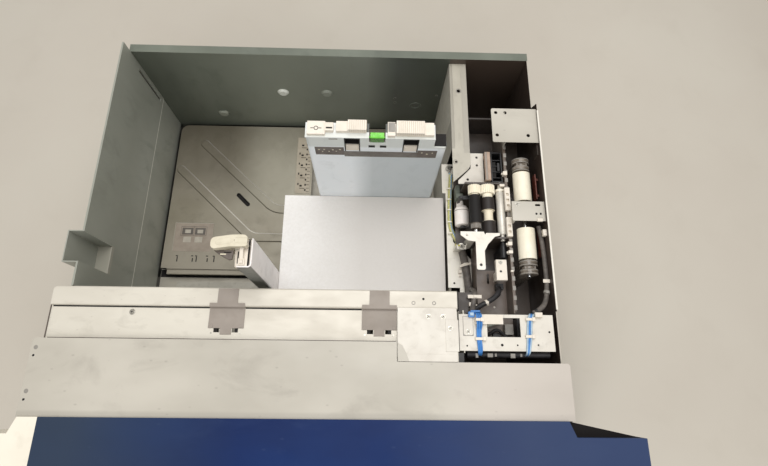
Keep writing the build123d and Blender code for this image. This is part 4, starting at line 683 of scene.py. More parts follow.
class Form:
    """Mesh of one piece, put together in millimetres from closed parts."""

    def __init__(self) -> None:
        """Starts an empty mesh."""
        self.mesh = bmesh.new()
        self.finishes: list[Finish] = []

    def _close(self, faces: list[bmesh.types.BMFace], finish: Finish) -> "Form":
        """Turns new faces outwards and gives them their finish.

        Args:
            faces: The new faces of one closed part.
            finish: Their finish.

        Returns:
            The form itself.
        """
        if finish not in self.finishes:
            self.finishes.append(finish)
        bmesh.ops.recalc_face_normals(self.mesh, faces=faces)
        for face in faces:
            face.material_index = self.finishes.index(finish)
        return self

    def blocks(self, finish: Finish, *boxes: Box) -> "Form":
        """Adds blocks of one finish.

        Args:
            finish: Their finish.
            boxes: Lowest x, y and z, then highest x, y and z, of each block.

        Returns:
            The form itself.
        """
        for x0, y0, z0, x1, y1, z1 in boxes:
            self.plate([(x0, y0), (x1, y0), (x1, y1), (x0, y1)], z0, z1, finish)
        return self

    def plate(self, outline: list[Pair], low: float, high: float, finish: Finish, axis: int = 2) -> "Form":
        """Adds an outline carried from one level to another.

        Args:
            outline: Corners in the two directions other than the axis.
            low: First level along the axis.
            high: Last level along the axis.
            finish: Its finish.
            axis: 0, 1 or 2 for X, Y or Z.

        Returns:
            The form itself.
        """
        loops = []
        for level in (low, high):
            loop = []
            for a, b in outline:
                place = [a, b]
                place.insert(axis, level)
                loop.append(self.mesh.verts.new(place))
            loops.append(loop)
        lower, upper = loops
        faces = [self.mesh.faces.new(lower), self.mesh.faces.new(upper)]
        for i in range(len(outline)):
            j = (i + 1) % len(outline)
            faces.append(self.mesh.faces.new((lower[i], lower[j], upper[j], upper[i])))
        return self._close(faces, finish)

    def turned(self, profile: list[Pair], origin: Triple, direction: Triple, finish: Finish,
               sides: int = 28) -> "Form":
        """Adds a turned part.

        Args:
            profile: Distance along the axis and radius, closed by the axis or by its own first point.
            origin: Where the axis starts.
            direction: The axis.
            finish: Its finish.
            sides: Number of facets round the axis.

        Returns:
            The form itself.
        """
        axis = Vector(direction).normalized()
        across = axis.orthogonal().normalized()
        other = axis.cross(across)
        rings = []
        for along, radius in profile:
            middle = Vector(origin) + axis * along
            if radius == 0:
                rings.append([self.mesh.verts.new(middle)])
                continue
            rings.append([self.mesh.verts.new(middle + (across * math.cos(math.tau * i / sides)
                                                        + other * math.sin(math.tau * i / sides)) * radius)
                          for i in range(sides)])
        if profile[0][1] > 0:
            rings.append(rings[0])
        faces = []
        for first, second in zip(rings, rings[1:]):
            for i in range(sides):
                j = (i + 1) % sides
                corners = (first[i % len(first)], first[j % len(first)], second[j % len(second)],
                           second[i % len(second)])
                faces.append(self.mesh.faces.new(list(dict.fromkeys(corners))))
        return self._close(faces, finish)

    def ring(self, along: Pair, radii: Pair, origin: Triple, direction: Triple, finish: Finish,
             sides: int = 28) -> "Form":
        """Adds a plain ring, or a disc where the inner radius is 0.

        Args:
            along: Where it starts and ends along its axis.
            radii: Inner and outer radius.
            origin: Where the axis starts.
            direction: The axis.
            finish: Its finish.
            sides: Number of facets round the axis.

        Returns:
            The form itself.
        """
        (first, last), (inner, outer) = along, radii
        profile = [(first, inner), (first, outer), (last, outer), (last, inner)]
        return self.turned(profile, origin, direction, finish, sides)

    def done(self, name: str, body: Body = Body.DRAWER, bevel: float = 0.3, segments: int = 2) -> bpy.types.Object:
        """Makes the object, with rounded edges, on its body.

        Args:
            name: Name of the piece.
            body: The body that it rides on.
            bevel: Radius of its edges in millimetres, or 0 for none.
            segments: Facets of each rounded edge.

        Returns:
            The new object.
        """
        bmesh.ops.scale(self.mesh, vec=(MM, MM, MM), verts=self.mesh.verts)
        data = bpy.data.meshes.new(name)
        self.mesh.to_mesh(data)
        self.mesh.free()
        for finish in self.finishes:
            data.materials.append(finish.material())
        data.shade_smooth()
        data.set_sharp_from_angle(angle=CREASE)
        piece = linked(name, data)
        if bevel:
            edge = piece.modifiers.new("edges", "BEVEL")
            edge.width = bevel * MM
            edge.segments = segments
            edge.limit_method = "ANGLE"
            edge.angle_limit = CREASE
            edge.harden_normals = True
        return settle(piece, body)


@dataclass
class Cable:
    """Wire, cable or tube held all the way, on one smooth line through the region of its points."""

    name: str
    points: Sequence[Triple]
    radius: float
    finish: Surface
    body: Body = Body.DRAWER
    stands_for: str = ""

    def make(self) -> bpy.types.Object:
        """Makes the curve object on its body.

        Returns:
            The new object.
        """
        data = bpy.data.curves.new(self.name, "CURVE")
        data.dimensions = "3D"
        line = data.splines.new("NURBS")
        line.points.add(len(self.points) - 1)
        for point, place in zip(line.points, self.points):
            point.co = (*metres(place), 1.0)
        line.order_u = 3
        line.use_endpoint_u = True
        data.resolution_u = 10
        data.bevel_depth = self.radius * MM
        data.bevel_resolution = 4
        data.use_fill_caps = True
        data.materials.append(self.finish.material())
        piece = linked(self.name, data)
        if self.stands_for:
            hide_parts(self.stands_for)
        return settle(piece, self.body)


class Pattern(ABC):
    """Geometry Nodes tree with named inputs, and the pieces that it makes."""

    title = "pattern"
    inputs: dict[str, str] = {}
    seed = 7
    facets = 24

    def __init__(self) -> None:
        """Builds the tree."""
        self.tree = bpy.data.node_groups.new(self.title, "GeometryNodeTree")
        self.tree.interface.new_socket("Geometry", in_out="INPUT", socket_type="NodeSocketGeometry")
        self.tree.interface.new_socket("Geometry", in_out="OUTPUT", socket_type="NodeSocketGeometry")
        for name, kind in self.inputs.items():
            self.tree.interface.new_socket(name, in_out="INPUT", socket_type="NodeSocket" + kind)
        self.given = add(self.tree, "NodeGroupInput").outputs
        add(self.tree, "NodeGroupOutput", {0: self.build()})

    @abstractmethod
    def build(self) -> Socket:
        """Adds the nodes.

        Returns:
            The geometry that goes to the output.
        """

    def on_points(self, shape: Socket) -> Socket:
        """Sets a shape on each point, upright on its facing, turned at random about it.

        Args:
            shape: The geometry of one of them, standing on the XY plane.

        Returns:
            The instances.
        """
        tree, given = self.tree, self.given
        facing = add(tree, "GeometryNodeInputNamedAttribute", {"Name": "facing"}, data_type="FLOAT_VECTOR")
        size = add(tree, "GeometryNodeInputNamedAttribute", {"Name": "size"}, data_type="FLOAT")
        upright = add(tree, "FunctionNodeAlignRotationToVector", {"Vector": facing.outputs[0]}, axis="Z")
        angle = add(tree, "FunctionNodeRandomValue", {"Max": math.tau, "Seed": self.seed}, data_type="FLOAT")
        spin = add(tree, "FunctionNodeAxisAngleToRotation", {"Axis": UP, "Angle": angle.outputs["Value"]})
        turned = add(tree, "FunctionNodeRotateRotation", {
            0: upright.outputs[0], 1: spin.outputs[0]}, rotation_space="LOCAL")
        return add(tree, "GeometryNodeInstanceOnPoints", {
            "Points": given["Geometry"], "Instance": shape, "Rotation": turned.outputs[0],
            "Scale": size.outputs[0]}).outputs[0]

    def finished(self, instances: Socket, main: Socket, second: Socket | None = None) -> Socket:
        """Realizes the instances and sets their materials.

        Args:
            instances: The instances.
            main: Material of the whole.
            second: Material of the faces marked as second, if there are any.

        Returns:
            The real geometry.
        """
        real = add(self.tree, "GeometryNodeRealizeInstances", {0: instances}).outputs[0]
        real = add(self.tree, "GeometryNodeSetMaterial", {"Geometry": real, "Material": main}).outputs[0]
        if second is None:
            return real
        marked = add(self.tree, "GeometryNodeInputNamedAttribute", {"Name": "second"}, data_type="BOOLEAN")
        return add(self.tree, "GeometryNodeSetMaterial", {
            "Geometry": real, "Selection": marked.outputs[0], "Material": second}).outputs[0]

    def mark(self, shape: Socket) -> Socket:
        """Marks the faces of a shape as second."""
        return add(self.tree, "GeometryNodeStoreNamedAttribute", {
            "Geometry": shape, "Name": "second", "Value": True}, data_type="BOOLEAN", domain="FACE").outputs[0]

    def make(self, name: str, values: dict[str, object], body: Body, slot: str,
             points: list[tuple[Triple, Triple, float]] | None = None) -> bpy.types.Object:
        """Makes one plain mesh piece from the tree.

        Args:
            name: Name of the piece.
            values: Values of the tree's inputs by name.
            body: The body that it rides on.
            slot: The record's material slot; not used.
            points: Place in millimetres, facing and size of each, if the tree takes points.

        Returns:
            The new object.
        """
        seeds = bpy.data.meshes.new(name + "_points")
        if points:
            seeds.from_pydata([metres(place) for place, _, _ in points], [], [])
            seeds.attributes.new("facing", "FLOAT_VECTOR", "POINT")
            seeds.attributes.new("size", "FLOAT", "POINT")
            for i, (_, direction, scale) in enumerate(points):
                seeds.attributes["facing"].data[i].vector = direction
                seeds.attributes["size"].data[i].value = scale
        carrier = linked(name + "_carrier", seeds)
        modifier = carrier.modifiers.new("pattern", "NODES")
        modifier.node_group = self.tree
        for item in self.tree.interface.items_tree:
            if item.name in values:
                modifier[item.identifier] = values[item.name]
        graph = bpy.context.evaluated_depsgraph_get()
        graph.update()
        data = bpy.data.meshes.new_from_object(carrier.evaluated_get(graph), depsgraph=graph)
        bpy.data.objects.remove(carrier)
        data.name = name
        data.shade_smooth()
        data.set_sharp_from_angle(angle=FINE_CREASE)
        return settle(linked(name, data), body)


class ScrewPattern(Pattern):
    """Pan-head screws with a washer and a cross recess."""

    title = "screws"
    sizes = ("Head radius", "Head height", "Washer radius", "Washer height", "Cross length", "Cross width")
    inputs = dict.fromkeys(sizes, "Float") | {"Steel": "Material", "Recess": "Material"}
    taper = 0.78
    cross_height = 0.12 * MM

    def build(self) -> Socket:
        """Adds the nodes of washer, head and cross, set on the points.

        Returns:
            The geometry that goes to the output.
        """
        tree, given = self.tree, self.given
        washer = add(tree, "GeometryNodeMeshCone", {
            "Vertices": self.facets, "Radius Top": given["Washer radius"], "Radius Bottom": given["Washer radius"],
            "Depth": given["Washer height"]})
        narrow = add(tree, "ShaderNodeMath", {0: given["Head radius"], 1: self.taper}, operation="MULTIPLY")
        head = add(tree, "GeometryNodeMeshCone", {
            "Vertices": self.facets, "Side Segments": 1, "Radius Top": narrow.outputs[0],
            "Radius Bottom": given["Head radius"], "Depth": given["Head height"]})
        shift = add(tree, "ShaderNodeCombineXYZ", {2: given["Washer height"]})
        head = add(tree, "GeometryNodeTransform", {0: head.outputs[0], "Translation": shift.outputs[0]})
        top = add(tree, "ShaderNodeMath", {0: given["Head height"], 1: given["Washer height"]}, operation="ADD")
        above = add(tree, "ShaderNodeCombineXYZ", {2: top.outputs[0]})
        bars = []
        for first, second in ((0, 1), (1, 0)):
            size = add(tree, "ShaderNodeCombineXYZ", {
                first: given["Cross length"], second: given["Cross width"], 2: self.cross_height})
            bar = add(tree, "GeometryNodeMeshCube", {"Size": size.outputs[0]})
            bars.append(add(tree, "GeometryNodeTransform", {0: bar.outputs[0], "Translation": above.outputs[0]}))
        cross = add(tree, "GeometryNodeJoinGeometry")
        whole = add(tree, "GeometryNodeJoinGeometry")
        for bar in bars:
            tree.links.new(bar.outputs[0], cross.inputs[0])
        for part in (washer.outputs[0], head.outputs[0], self.mark(cross.outputs[0])):
            tree.links.new(part, whole.inputs[0])
        return self.finished(self.on_points(whole.outputs[0]), given["Steel"], given["Recess"])


class HolePattern(Pattern):
    """Round holes too small for the solids: a floor of painted shade in a thin rim."""

    title = "holes"
    inputs = {"Radius": "Float", "Rim": "Float", "Depth": "Float", "Metal": "Material", "Dark": "Material"}
    floor_rise = 1.5

    def build(self) -> Socket:
        """Adds the nodes of rim and floor, set on the points.

        Returns:
            The geometry that goes to the output.
        """
        tree, given = self.tree, self.given
        outer = add(tree, "ShaderNodeMath", {0: given["Radius"], 1: given["Rim"]}, operation="ADD")
        rim = add(tree, "GeometryNodeMeshCylinder", {
            "Vertices": self.facets, "Radius": outer.outputs[0], "Depth": given["Depth"]})
        deep = add(tree, "ShaderNodeMath", {0: given["Depth"], 1: self.floor_rise}, operation="MULTIPLY")
        floor = add(tree, "GeometryNodeMeshCylinder", {
            "Vertices": self.facets, "Radius": given["Radius"], "Depth": deep.outputs[0]})
        whole = add(tree, "GeometryNodeJoinGeometry")
        for part in (rim.outputs[0], self.mark(floor.outputs[0])):
            tree.links.new(part, whole.inputs[0])
        return self.finished(self.on_points(whole.outputs[0]), given["Metal"], given["Dark"])


class BarPattern(Pattern):
    """Row of like bars, such as moulded ribs or printed ticks."""

    title = "bars"
    inputs = {"Start": "Vector", "Step": "Vector", "Count": "Int", "Size": "Vector", "Finish": "Material"}

    def build(self) -> Socket:
        """Adds the nodes of a row of bars.

        Returns:
            The geometry that goes to the output.
        """
        tree, given = self.tree, self.given
        row = add(tree, "GeometryNodeMeshLine", {
            "Count": given["Count"], "Start Location": given["Start"], "Offset": given["Step"]}, mode="OFFSET")
        bar = add(tree, "GeometryNodeMeshCube", {"Size": given["Size"]})
        bars = add(tree, "GeometryNodeInstanceOnPoints", {"Points": row.outputs[0], "Instance": bar.outputs[0]})
        return self.finished(bars.outputs[0], given["Finish"])


class CrownPattern(Pattern):
    """Bars round an axis along Y, such as a knurl."""

    title = "crown"
    inputs = {"Middle": "Vector", "Radius": "Float", "Count": "Int", "Size": "Vector", "Finish": "Material"}

    def build(self) -> Socket:
        """Adds the nodes of a ring of bars.

        Returns:
            The geometry that goes to the output.
        """
        tree, given = self.tree, self.given
        ring = add(tree, "GeometryNodeMeshCircle", {"Vertices": given["Count"], "Radius": given["Radius"]})
        outward = add(tree, "GeometryNodeInputPosition")
        turn = add(tree, "FunctionNodeAlignRotationToVector", {"Vector": outward.outputs[0]}, axis="X")
        bar = add(tree, "GeometryNodeMeshCube", {"Size": given["Size"]})
        bars = add(tree, "GeometryNodeInstanceOnPoints", {
            "Points": ring.outputs[0], "Instance": bar.outputs[0], "Rotation": turn.outputs[0]})
        placed = add(tree, "GeometryNodeTransform", {
            0: bars.outputs[0], "Translation": given["Middle"], "Rotation": (math.pi / 2, 0.0, 0.0)})
        return self.finished(placed.outputs[0], given["Finish"])


@dataclass
class Fasteners:
    """Screws and small holes of every body, gathered while the sub-assemblies are built."""

    screws: dict[Body, list[tuple[Triple, Triple, float]]] = field(default_factory=dict)
    holes: dict[Body, list[tuple[Triple, Triple, float]]] = field(default_factory=dict)
    head_radius: float = 2.6
    head_height: float = 1.3
    washer_radius: float = 3.9
    washer_height: float = 0.45
    cross_length: float = 2.9
    cross_width: float = 0.65
    hole_rim: float = 0.16
    hole_depth: float = 0.1

    def screw(self, place: Triple, facing: Triple = UP, size: float = 1.0, body: Body = Body.DRAWER) -> None:
        """Adds a screw at a place, standing on its washer."""
        self.screws.setdefault(body, []).append((place, facing, size))

    def hole(self, place: Triple, radius: float = 1.6, facing: Triple = UP, body: Body = Body.DRAWER) -> None:
        """Adds a hole at a place of a flat face."""
        self.holes.setdefault(body, []).append((place, facing, radius))

    def make(self) -> None:
        """Makes one mesh of screws and one of holes for each body."""
        screw_tree, hole_tree = ScrewPattern(), HolePattern()
        sizes = {"Head radius": self.head_radius * MM, "Head height": self.head_height * MM,
                 "Washer radius": self.washer_radius * MM, "Washer height": self.washer_height * MM,
                 "Cross length": self.cross_length * MM, "Cross width": self.cross_width * MM,
                 "Steel": PLATED_STEEL.material(), "Recess": DARK_RECESS.material()}
        for body, points in self.screws.items():
            screw_tree.make(f"screws_{body.value}", sizes, body, PLATED_STEEL.slot, points)
        sizes = {"Radius": MM, "Rim": self.hole_rim * MM, "Depth": self.hole_depth * MM,
                 "Metal": CREAM_PAINT.material(), "Dark": DARK_RECESS.material()}
        for body, points in self.holes.items():
            hole_tree.make(f"holes_{body.value}", sizes, body, DARK_RECESS.slot, points)


@dataclass
class Bars:
    """Rows of bars in millimetres, from one shared tree."""

    tree: BarPattern = field(default_factory=BarPattern)

    def row(self, name: str, start: Triple, step: Triple, count: int, size: Triple, finish: Finish,
            body: Body = Body.DRAWER) -> bpy.types.Object:
        """Makes one row.

        Args:
            name: Name of the piece.
            start: Middle of the first bar.
            step: From one bar to the next.
            count: Number of bars.
            size: Width of a bar in each direction.
            finish: Its finish.
            body: The body that it rides on.

        Returns:
            The new object.
        """
        return self.tree.make(name, {
            "Start": metres(start), "Step": metres(step), "Count": count, "Size": metres(size),
            "Finish": finish.material()}, body, finish.slot)


@dataclass
class Dress(ABC):
    """Small pieces of one sub-assembly, with the fasteners and the rows of bars that all of them share."""

    fasteners: Fasteners
    bars: Bars

    @abstractmethod
    def dress(self) -> None:
        """Adds every small piece of the sub-assembly."""


@dataclass
class Shell(Dress):
    """Walls, rail, cover and their screws and holes."""

    strip_top: float = 325.0
    end_plate_top: float = 331.6
    clip_top: float = 332.8
    cover_top: float = 332.0
    left_face: float = -371.0
    back_face: float = 352.0
    insert_places: Pair = (-137.0, 89.0)
    socket_offset: float = 18.6
    socket_width: float = 11.6
    rib_offset: float = 21.5

    def dress(self) -> None:
        """Adds every small piece of the shell."""
        self.fasteners.screw((-277, -119, self.strip_top), size=1.1)
        for x in (162, 184):
            self.fasteners.screw((x, -121, self.end_plate_top), size=1.05)
        self.fasteners.screw((194, -138, self.clip_top), size=0.95)
        self.fasteners.hole((155, -95, 330), 1.8)
        for y in (-182.5, -241.5):
            self.fasteners.hole((-403, y, self.cover_top), 1.8)
        for y in (-48.5, 7.5):
            self.fasteners.hole((self.left_face, y, 277), facing=INTO_X)
        for x, z in ((119, 157), (120, 139), (205, 170)):
            self.fasteners.hole((x, self.back_face, z), 2.2, INTO_Y)
        self.sockets()
        self.pressed_marks()
        self.lift_slot_back()
        self.seams()
        self.floor_shade_strip()

    def sockets(self) -> None:
        """Makes the dark sockets under the rail beside each insert's tongue, and the inserts' ribs."""
        half = self.socket_width / 2
        sockets, ribs = Form(), Form()
        for middle in self.insert_places:
            for side in (-1, 1):
                x = middle + side * self.socket_offset
                sockets.blocks(DARK_RECESS, (x - half, -149, 316, x + half, -139, 323.3))
                sockets.blocks(PLATED_STEEL, (x - 1.5 + side * 2.4, -149.4, 323, x + 1.5 + side * 2.4, -146.8, 325.2))
                x = middle + side * self.rib_offset
                ribs.blocks(INSERT_PLASTIC, (x - 2.2, -140, 326.4, x + 2.2, -136, 327.2))
            ribs.blocks(INSERT_PLASTIC, (middle - 24, -113.6, 326.5, middle + 24, -112.4, 326.9))
        sockets.done("rail_sockets", bevel=0)
        ribs.done("insert_ribs", bevel=0.2)

    def pressed_marks(self) -> None:
        """Makes the faint pressed rounds of the lip and the ring of the back wall."""
        form = Form()
        for x in (140, 171):
            form.turned([(-0.4, 1.6), (-0.4, 3.2), (0.3, 2.7), (0.3, 1.9)], (x, -101, 330), UP, GREY_PLASTIC)
        form.done("lip_rounds", bevel=0)
        ring = [(0, 8.5), (0, 12.5), (-1.2, 12.0), (-1.2, 9.0)]
        Form().turned(ring, (164, self.back_face, 128), ALONG_Y, BACK_PAINT).done("back_wall_ring")

    def floor_shade_strip(self) -> None:
        """Makes a dark strip of painted shade across the floor pan under the lip of the lift plate."""
        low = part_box("floor_pan")[0][2] / MM
        Form().blocks(DARK_RECESS, (-370.5, -3, low + 0.2, 207, 13, low + 2.2)).done("floor_shade_strip", bevel=0)

    def seams(self) -> None:
        """Makes the shaded gaps at lip and panel, the cover's plugs, the end plate's step and the wall's edge."""
        form = Form()
        for x0, x1 in ((-394, -163.5), (-110.5, 62.5), (115.5, 116)):
            form.blocks(DARK_RECESS, (x0, -112.4, 325, x1, -110, 325.3))
        # Brown film behind the cover's rear edge, as painted shade.
        form.blocks(BROWN_FILM, (-393, -158, 325, 114, -156.4, 325.3))
        form.blocks(DARK_RECESS, (-402, -265.3, 331, 362, -263.4, 331.6), (206, -112, 325.2, 208.2, -82, 329.9))
        form.done("shaded_gaps", bevel=0)
        Form().blocks(BROWN_FILM, (-397.3, -160, 324, -396.1, -110, 326.6)).done("rail_end_edge", bevel=0.2)
        form = Form()
        for y in (-171.5, -230.5):
            form.turned([(-0.3, 0), (-0.3, 3.4), (0.15, 3.0), (0.15, 0)], (-402, y, self.cover_top), UP, GREY_PLASTIC)
        form.done("cover_plugs", bevel=0)
        form = Form()
        form.blocks(TOP_CREAM, (122, -185.4, self.end_plate_top - 0.2, 203, -175, self.end_plate_top + 0.5))
        form.plate([(116.4, -185.4), (133, -185.4), (130, -177), (123, -163), (116.4, -159)], self.end_plate_top - 0.2,
                   self.end_plate_top + 0.6, COVER_PAINT)
        form.done("end_plate_step", bevel=0.2)
        Form().blocks(CREAM_PAINT, (355.6, -108, 328.4, 358.3, 232, 330.4)).done("right_wall_edge", bevel=0.6)

    def lift_slot_back(self) -> None:
        """Makes the dark strip outside the lift slot of the left wall, so that no light falls through."""
        x = self.left_face - 1.6
        Form().blocks(DARK_PAINT, (x - 1.2, 336, 142, x - 0.05, 346, 260)).done("lift_slot_back", bevel=0)


@dataclass
class LiftDress(Dress):
    """Bare label, size ticks and scale of the lift plate."""

    top: float = 30.0
    label_floor: float = 29.6
    label: tuple[float, float, float, float] = (-344.0, -264.0, 47.0, 110.0)
    ticks_x: tuple[float, ...] = (-332.0, -300.0, -292.0, -269.0, -255.0)
    scale_x: Pair = (-96.0, -64.0)
    scale_top: float = 30.8

    def dress(self) -> None:
        """Adds the label, its fields, the ticks, the scale and the plate's strips of painted shade."""
        left, right, front, rear = self.label
        floor = self.label_floor
        form = Form()
        form.blocks(LABEL_FILM, (left, front, floor - 0.1, right, rear, floor + 0.15))
        flat, raised = floor + 0.25, floor + 0.35
        form.blocks(BAND_FILM, (-329, 84, floor, -306, 99, flat), (-302, 84, floor, -280, 99, flat))
        form.blocks(LABEL_FIELD, (-325, 67, floor, -309, 79, flat), (-301, 67, floor, -285, 79, flat),
                    (-323, 87, floor, -311, 95, raised), (-297, 87, floor, -285, 95, raised),
                    (left, rear - 1, floor, right, rear, flat))
        for y in (81.5, 101.5):
            form.blocks(BAND_FILM, (-331, y, floor, -278, y + 0.7, floor + 0.2))
        for x in (-332, -304.5, -278):
            form.blocks(BAND_FILM, (x, 81.5, floor, x + 0.7, 102.2, floor + 0.2))
        form.done("bare_label", Body.LIFT, bevel=0)
        form = Form()
        for i, x in enumerate(self.ticks_x):
            form.blocks(DARK_RECESS, (x - 1.1, 25, self.top - 0.2, x + 1.1, 36 - i % 2 * 3, self.top + 0.12),
                        (x - 3.4, 36.5, self.top - 0.2, x + 1.1, 38.5, self.top + 0.12))
        form.done("lift_plate_ticks", Body.LIFT, bevel=0)
        left, right = self.scale_x
        for name, x, y, step, count, size in (("edge", right - 4.5, 186, 8.2, 16, (6, 1.0, 0.24)),
                                              ("long", left + 15, 194, 24.6, 5, (11, 1.3, 0.24)),
                                              ("short", left + 12, 200, 24.6, 5, (5, 4.2, 0.24)),
                                              ("outer", left + 22, 190, 12.3, 10, (3.2, 4.4, 0.24)),
                                              ("inner", left + 6, 204, 24.6, 4, (2.6, 5.0, 0.24))):
            self.bars.row(f"scale_ticks_{name}", (x, y, self.scale_top), (0, step, 0), count, size, DARK_RECESS,
                          Body.LIFT)
        # Strips of painted shade below the plate's face and under its lip.
        Form().blocks(DARK_RECESS, (-232, 140, 21, -184, 190, 23), (-362.5, 9.6, 26.05, 205.5, 11.2, 27.4)).done(
            "plate_shades", Body.LIFT, bevel=0)


@dataclass
class RearGuideDress(Dress):
    """Band, painted shade of windows and slits, ribs and marks of the rear side guide."""

    face: float = 118.5
    windows: tuple[Pair, ...] = ((34.0, 54.0), (121.0, 141.0))
    window_z: Pair = (395.0, 434.0)
    slits: tuple[Pair, ...] = ((69.0, 77.0), (86.0, 94.0))
    slit_z: Pair = (408.0, 413.0)

    def dress(self) -> None:
        """Adds the band, the painted shade of windows and slits, the ribs of the caps and the marks."""
        self.band()
        self.shades_and_snaps()
        body = Body.REAR_GUIDE
        for name, x, y, count, length in (("left", 41.0, 134.6, 9, 14.5), ("right", 112.0, 132.6, 13, 18.0)):
            self.bars.row(f"{name}_cap_ribs", (x, y, 448.0), (3.0, 0, 0), count, (1.0, length, 0.7), CAP_RIB, body)
            self.bars.row(f"{name}_cap_front_ribs", (x, y - length / 2 - 0.9, 444.0), (3.0, 0, 0), count,
                          (1.0, 0.5, 7), CAP_RIB, body)
        form = Form()
        form.turned([(-0.4, 2.2), (0.35, 2.2), (0.35, 3.4), (-0.4, 3.4)], (-8, 131, 442), UP, BAND_FILM)
        form.blocks(BAND_FILM, (-16, 130.4, 441.8, -11.6, 131.6, 442.3), (-4.4, 130.4, 441.8, 0, 131.6, 442.3))
        form.done("pad_ring", body, bevel=0.15)
        form = Form()
        form.blocks(DARK_RECESS, (6.5, 129.5, 443.5, 15.5, 132, 444.15))
        form.blocks(GREY_PLASTIC, (10, self.face - 0.15, 431, 23, self.face + 0.2, 434))
        form.blocks(DARK_RECESS, (167.5, 120.3, 410.6, 185.2, 141, 411.3))
        form.blocks(GREY_PLASTIC, (97, 126.5, 442.9, 106.5, 141.5, 443.4))
        form.done("slider_slot", body, bevel=0)
        for x in (-16, 180):
            self.fasteners.screw((x, self.face, 80), INTO_Y, 0.9, body)

    def band(self) -> None:
        """Makes the dark stepped band with its pale dots across the guide's face."""
        form = Form()
        for x0, z0, x1, z1, finish in ((-13, 378, 31, 405, BROWN_FILM), (31, 373, 143, 392, BAND_FILM),
                                       (143, 373, 173, 399, BROWN_FILM)):
            form.blocks(finish, (x0, self.face - 0.2, z0, x1, self.face + 0.3, z1))
        y = self.face - 0.3
        for x, z, radius in ((-7, 396, 1.7), (1, 397, 1.3), (8, 390, 1.2), (14, 396, 1.5), (19, 391, 1.1),
                             (25, 397, 1.7), (-2, 389, 1.1), (150, 391, 1.4), (158, 387, 1.7), (166, 391, 1.3)):
            form.ring((0, 0.3), (0, radius), (x, y, z), ALONG_Y, LEVER_ABS, 10)
        form.done("guide_band", Body.REAR_GUIDE, bevel=0)

    def shades_and_snaps(self) -> None:
        """Makes the painted shade round and inside the windows and slits, and the moulded lips of the snaps."""
        low, high = self.window_z
        y0, y1 = self.face - 0.35, self.face + 10
        form = Form()
        for x0, x1 in self.windows:
            form.blocks(DARK_RECESS, (x0 - 1.6, y0, low - 2, x0, y1, high + 1.4),
                        (x1, y0, low - 2, x1 + 1.6, y1, high + 1.4), (x0, y0, high - 1.2, x1, y1, high + 1.4),
                        (x0 - 1, y1, low, x1 + 1, y1 + 1, high),
                        (x0 + 0.1, self.face + 2.6, low, x1 - 0.1, y1, high - 20.5))
        low, high = self.slit_z
        for x0, x1 in self.slits:
            form.blocks(DARK_RECESS, (x0 - 0.8, y0, low - 0.8, x1 + 0.8, y0 + 0.4, high + 0.8),
                        (x0 - 0.8, self.face + 2.05, low - 0.8, x1 + 0.8, self.face + 3, high + 0.8))
        form.done("window_shades", Body.REAR_GUIDE, bevel=0)
        form = Form()
        for x0, x1 in self.windows:
            form.blocks(WHITE_PLASTIC, (x0 + 1.6, self.face - 0.7, 396, x1 - 1.6, self.face + 2.6, 411.5))
        form.done("window_snaps", Body.REAR_GUIDE, bevel=0.4)


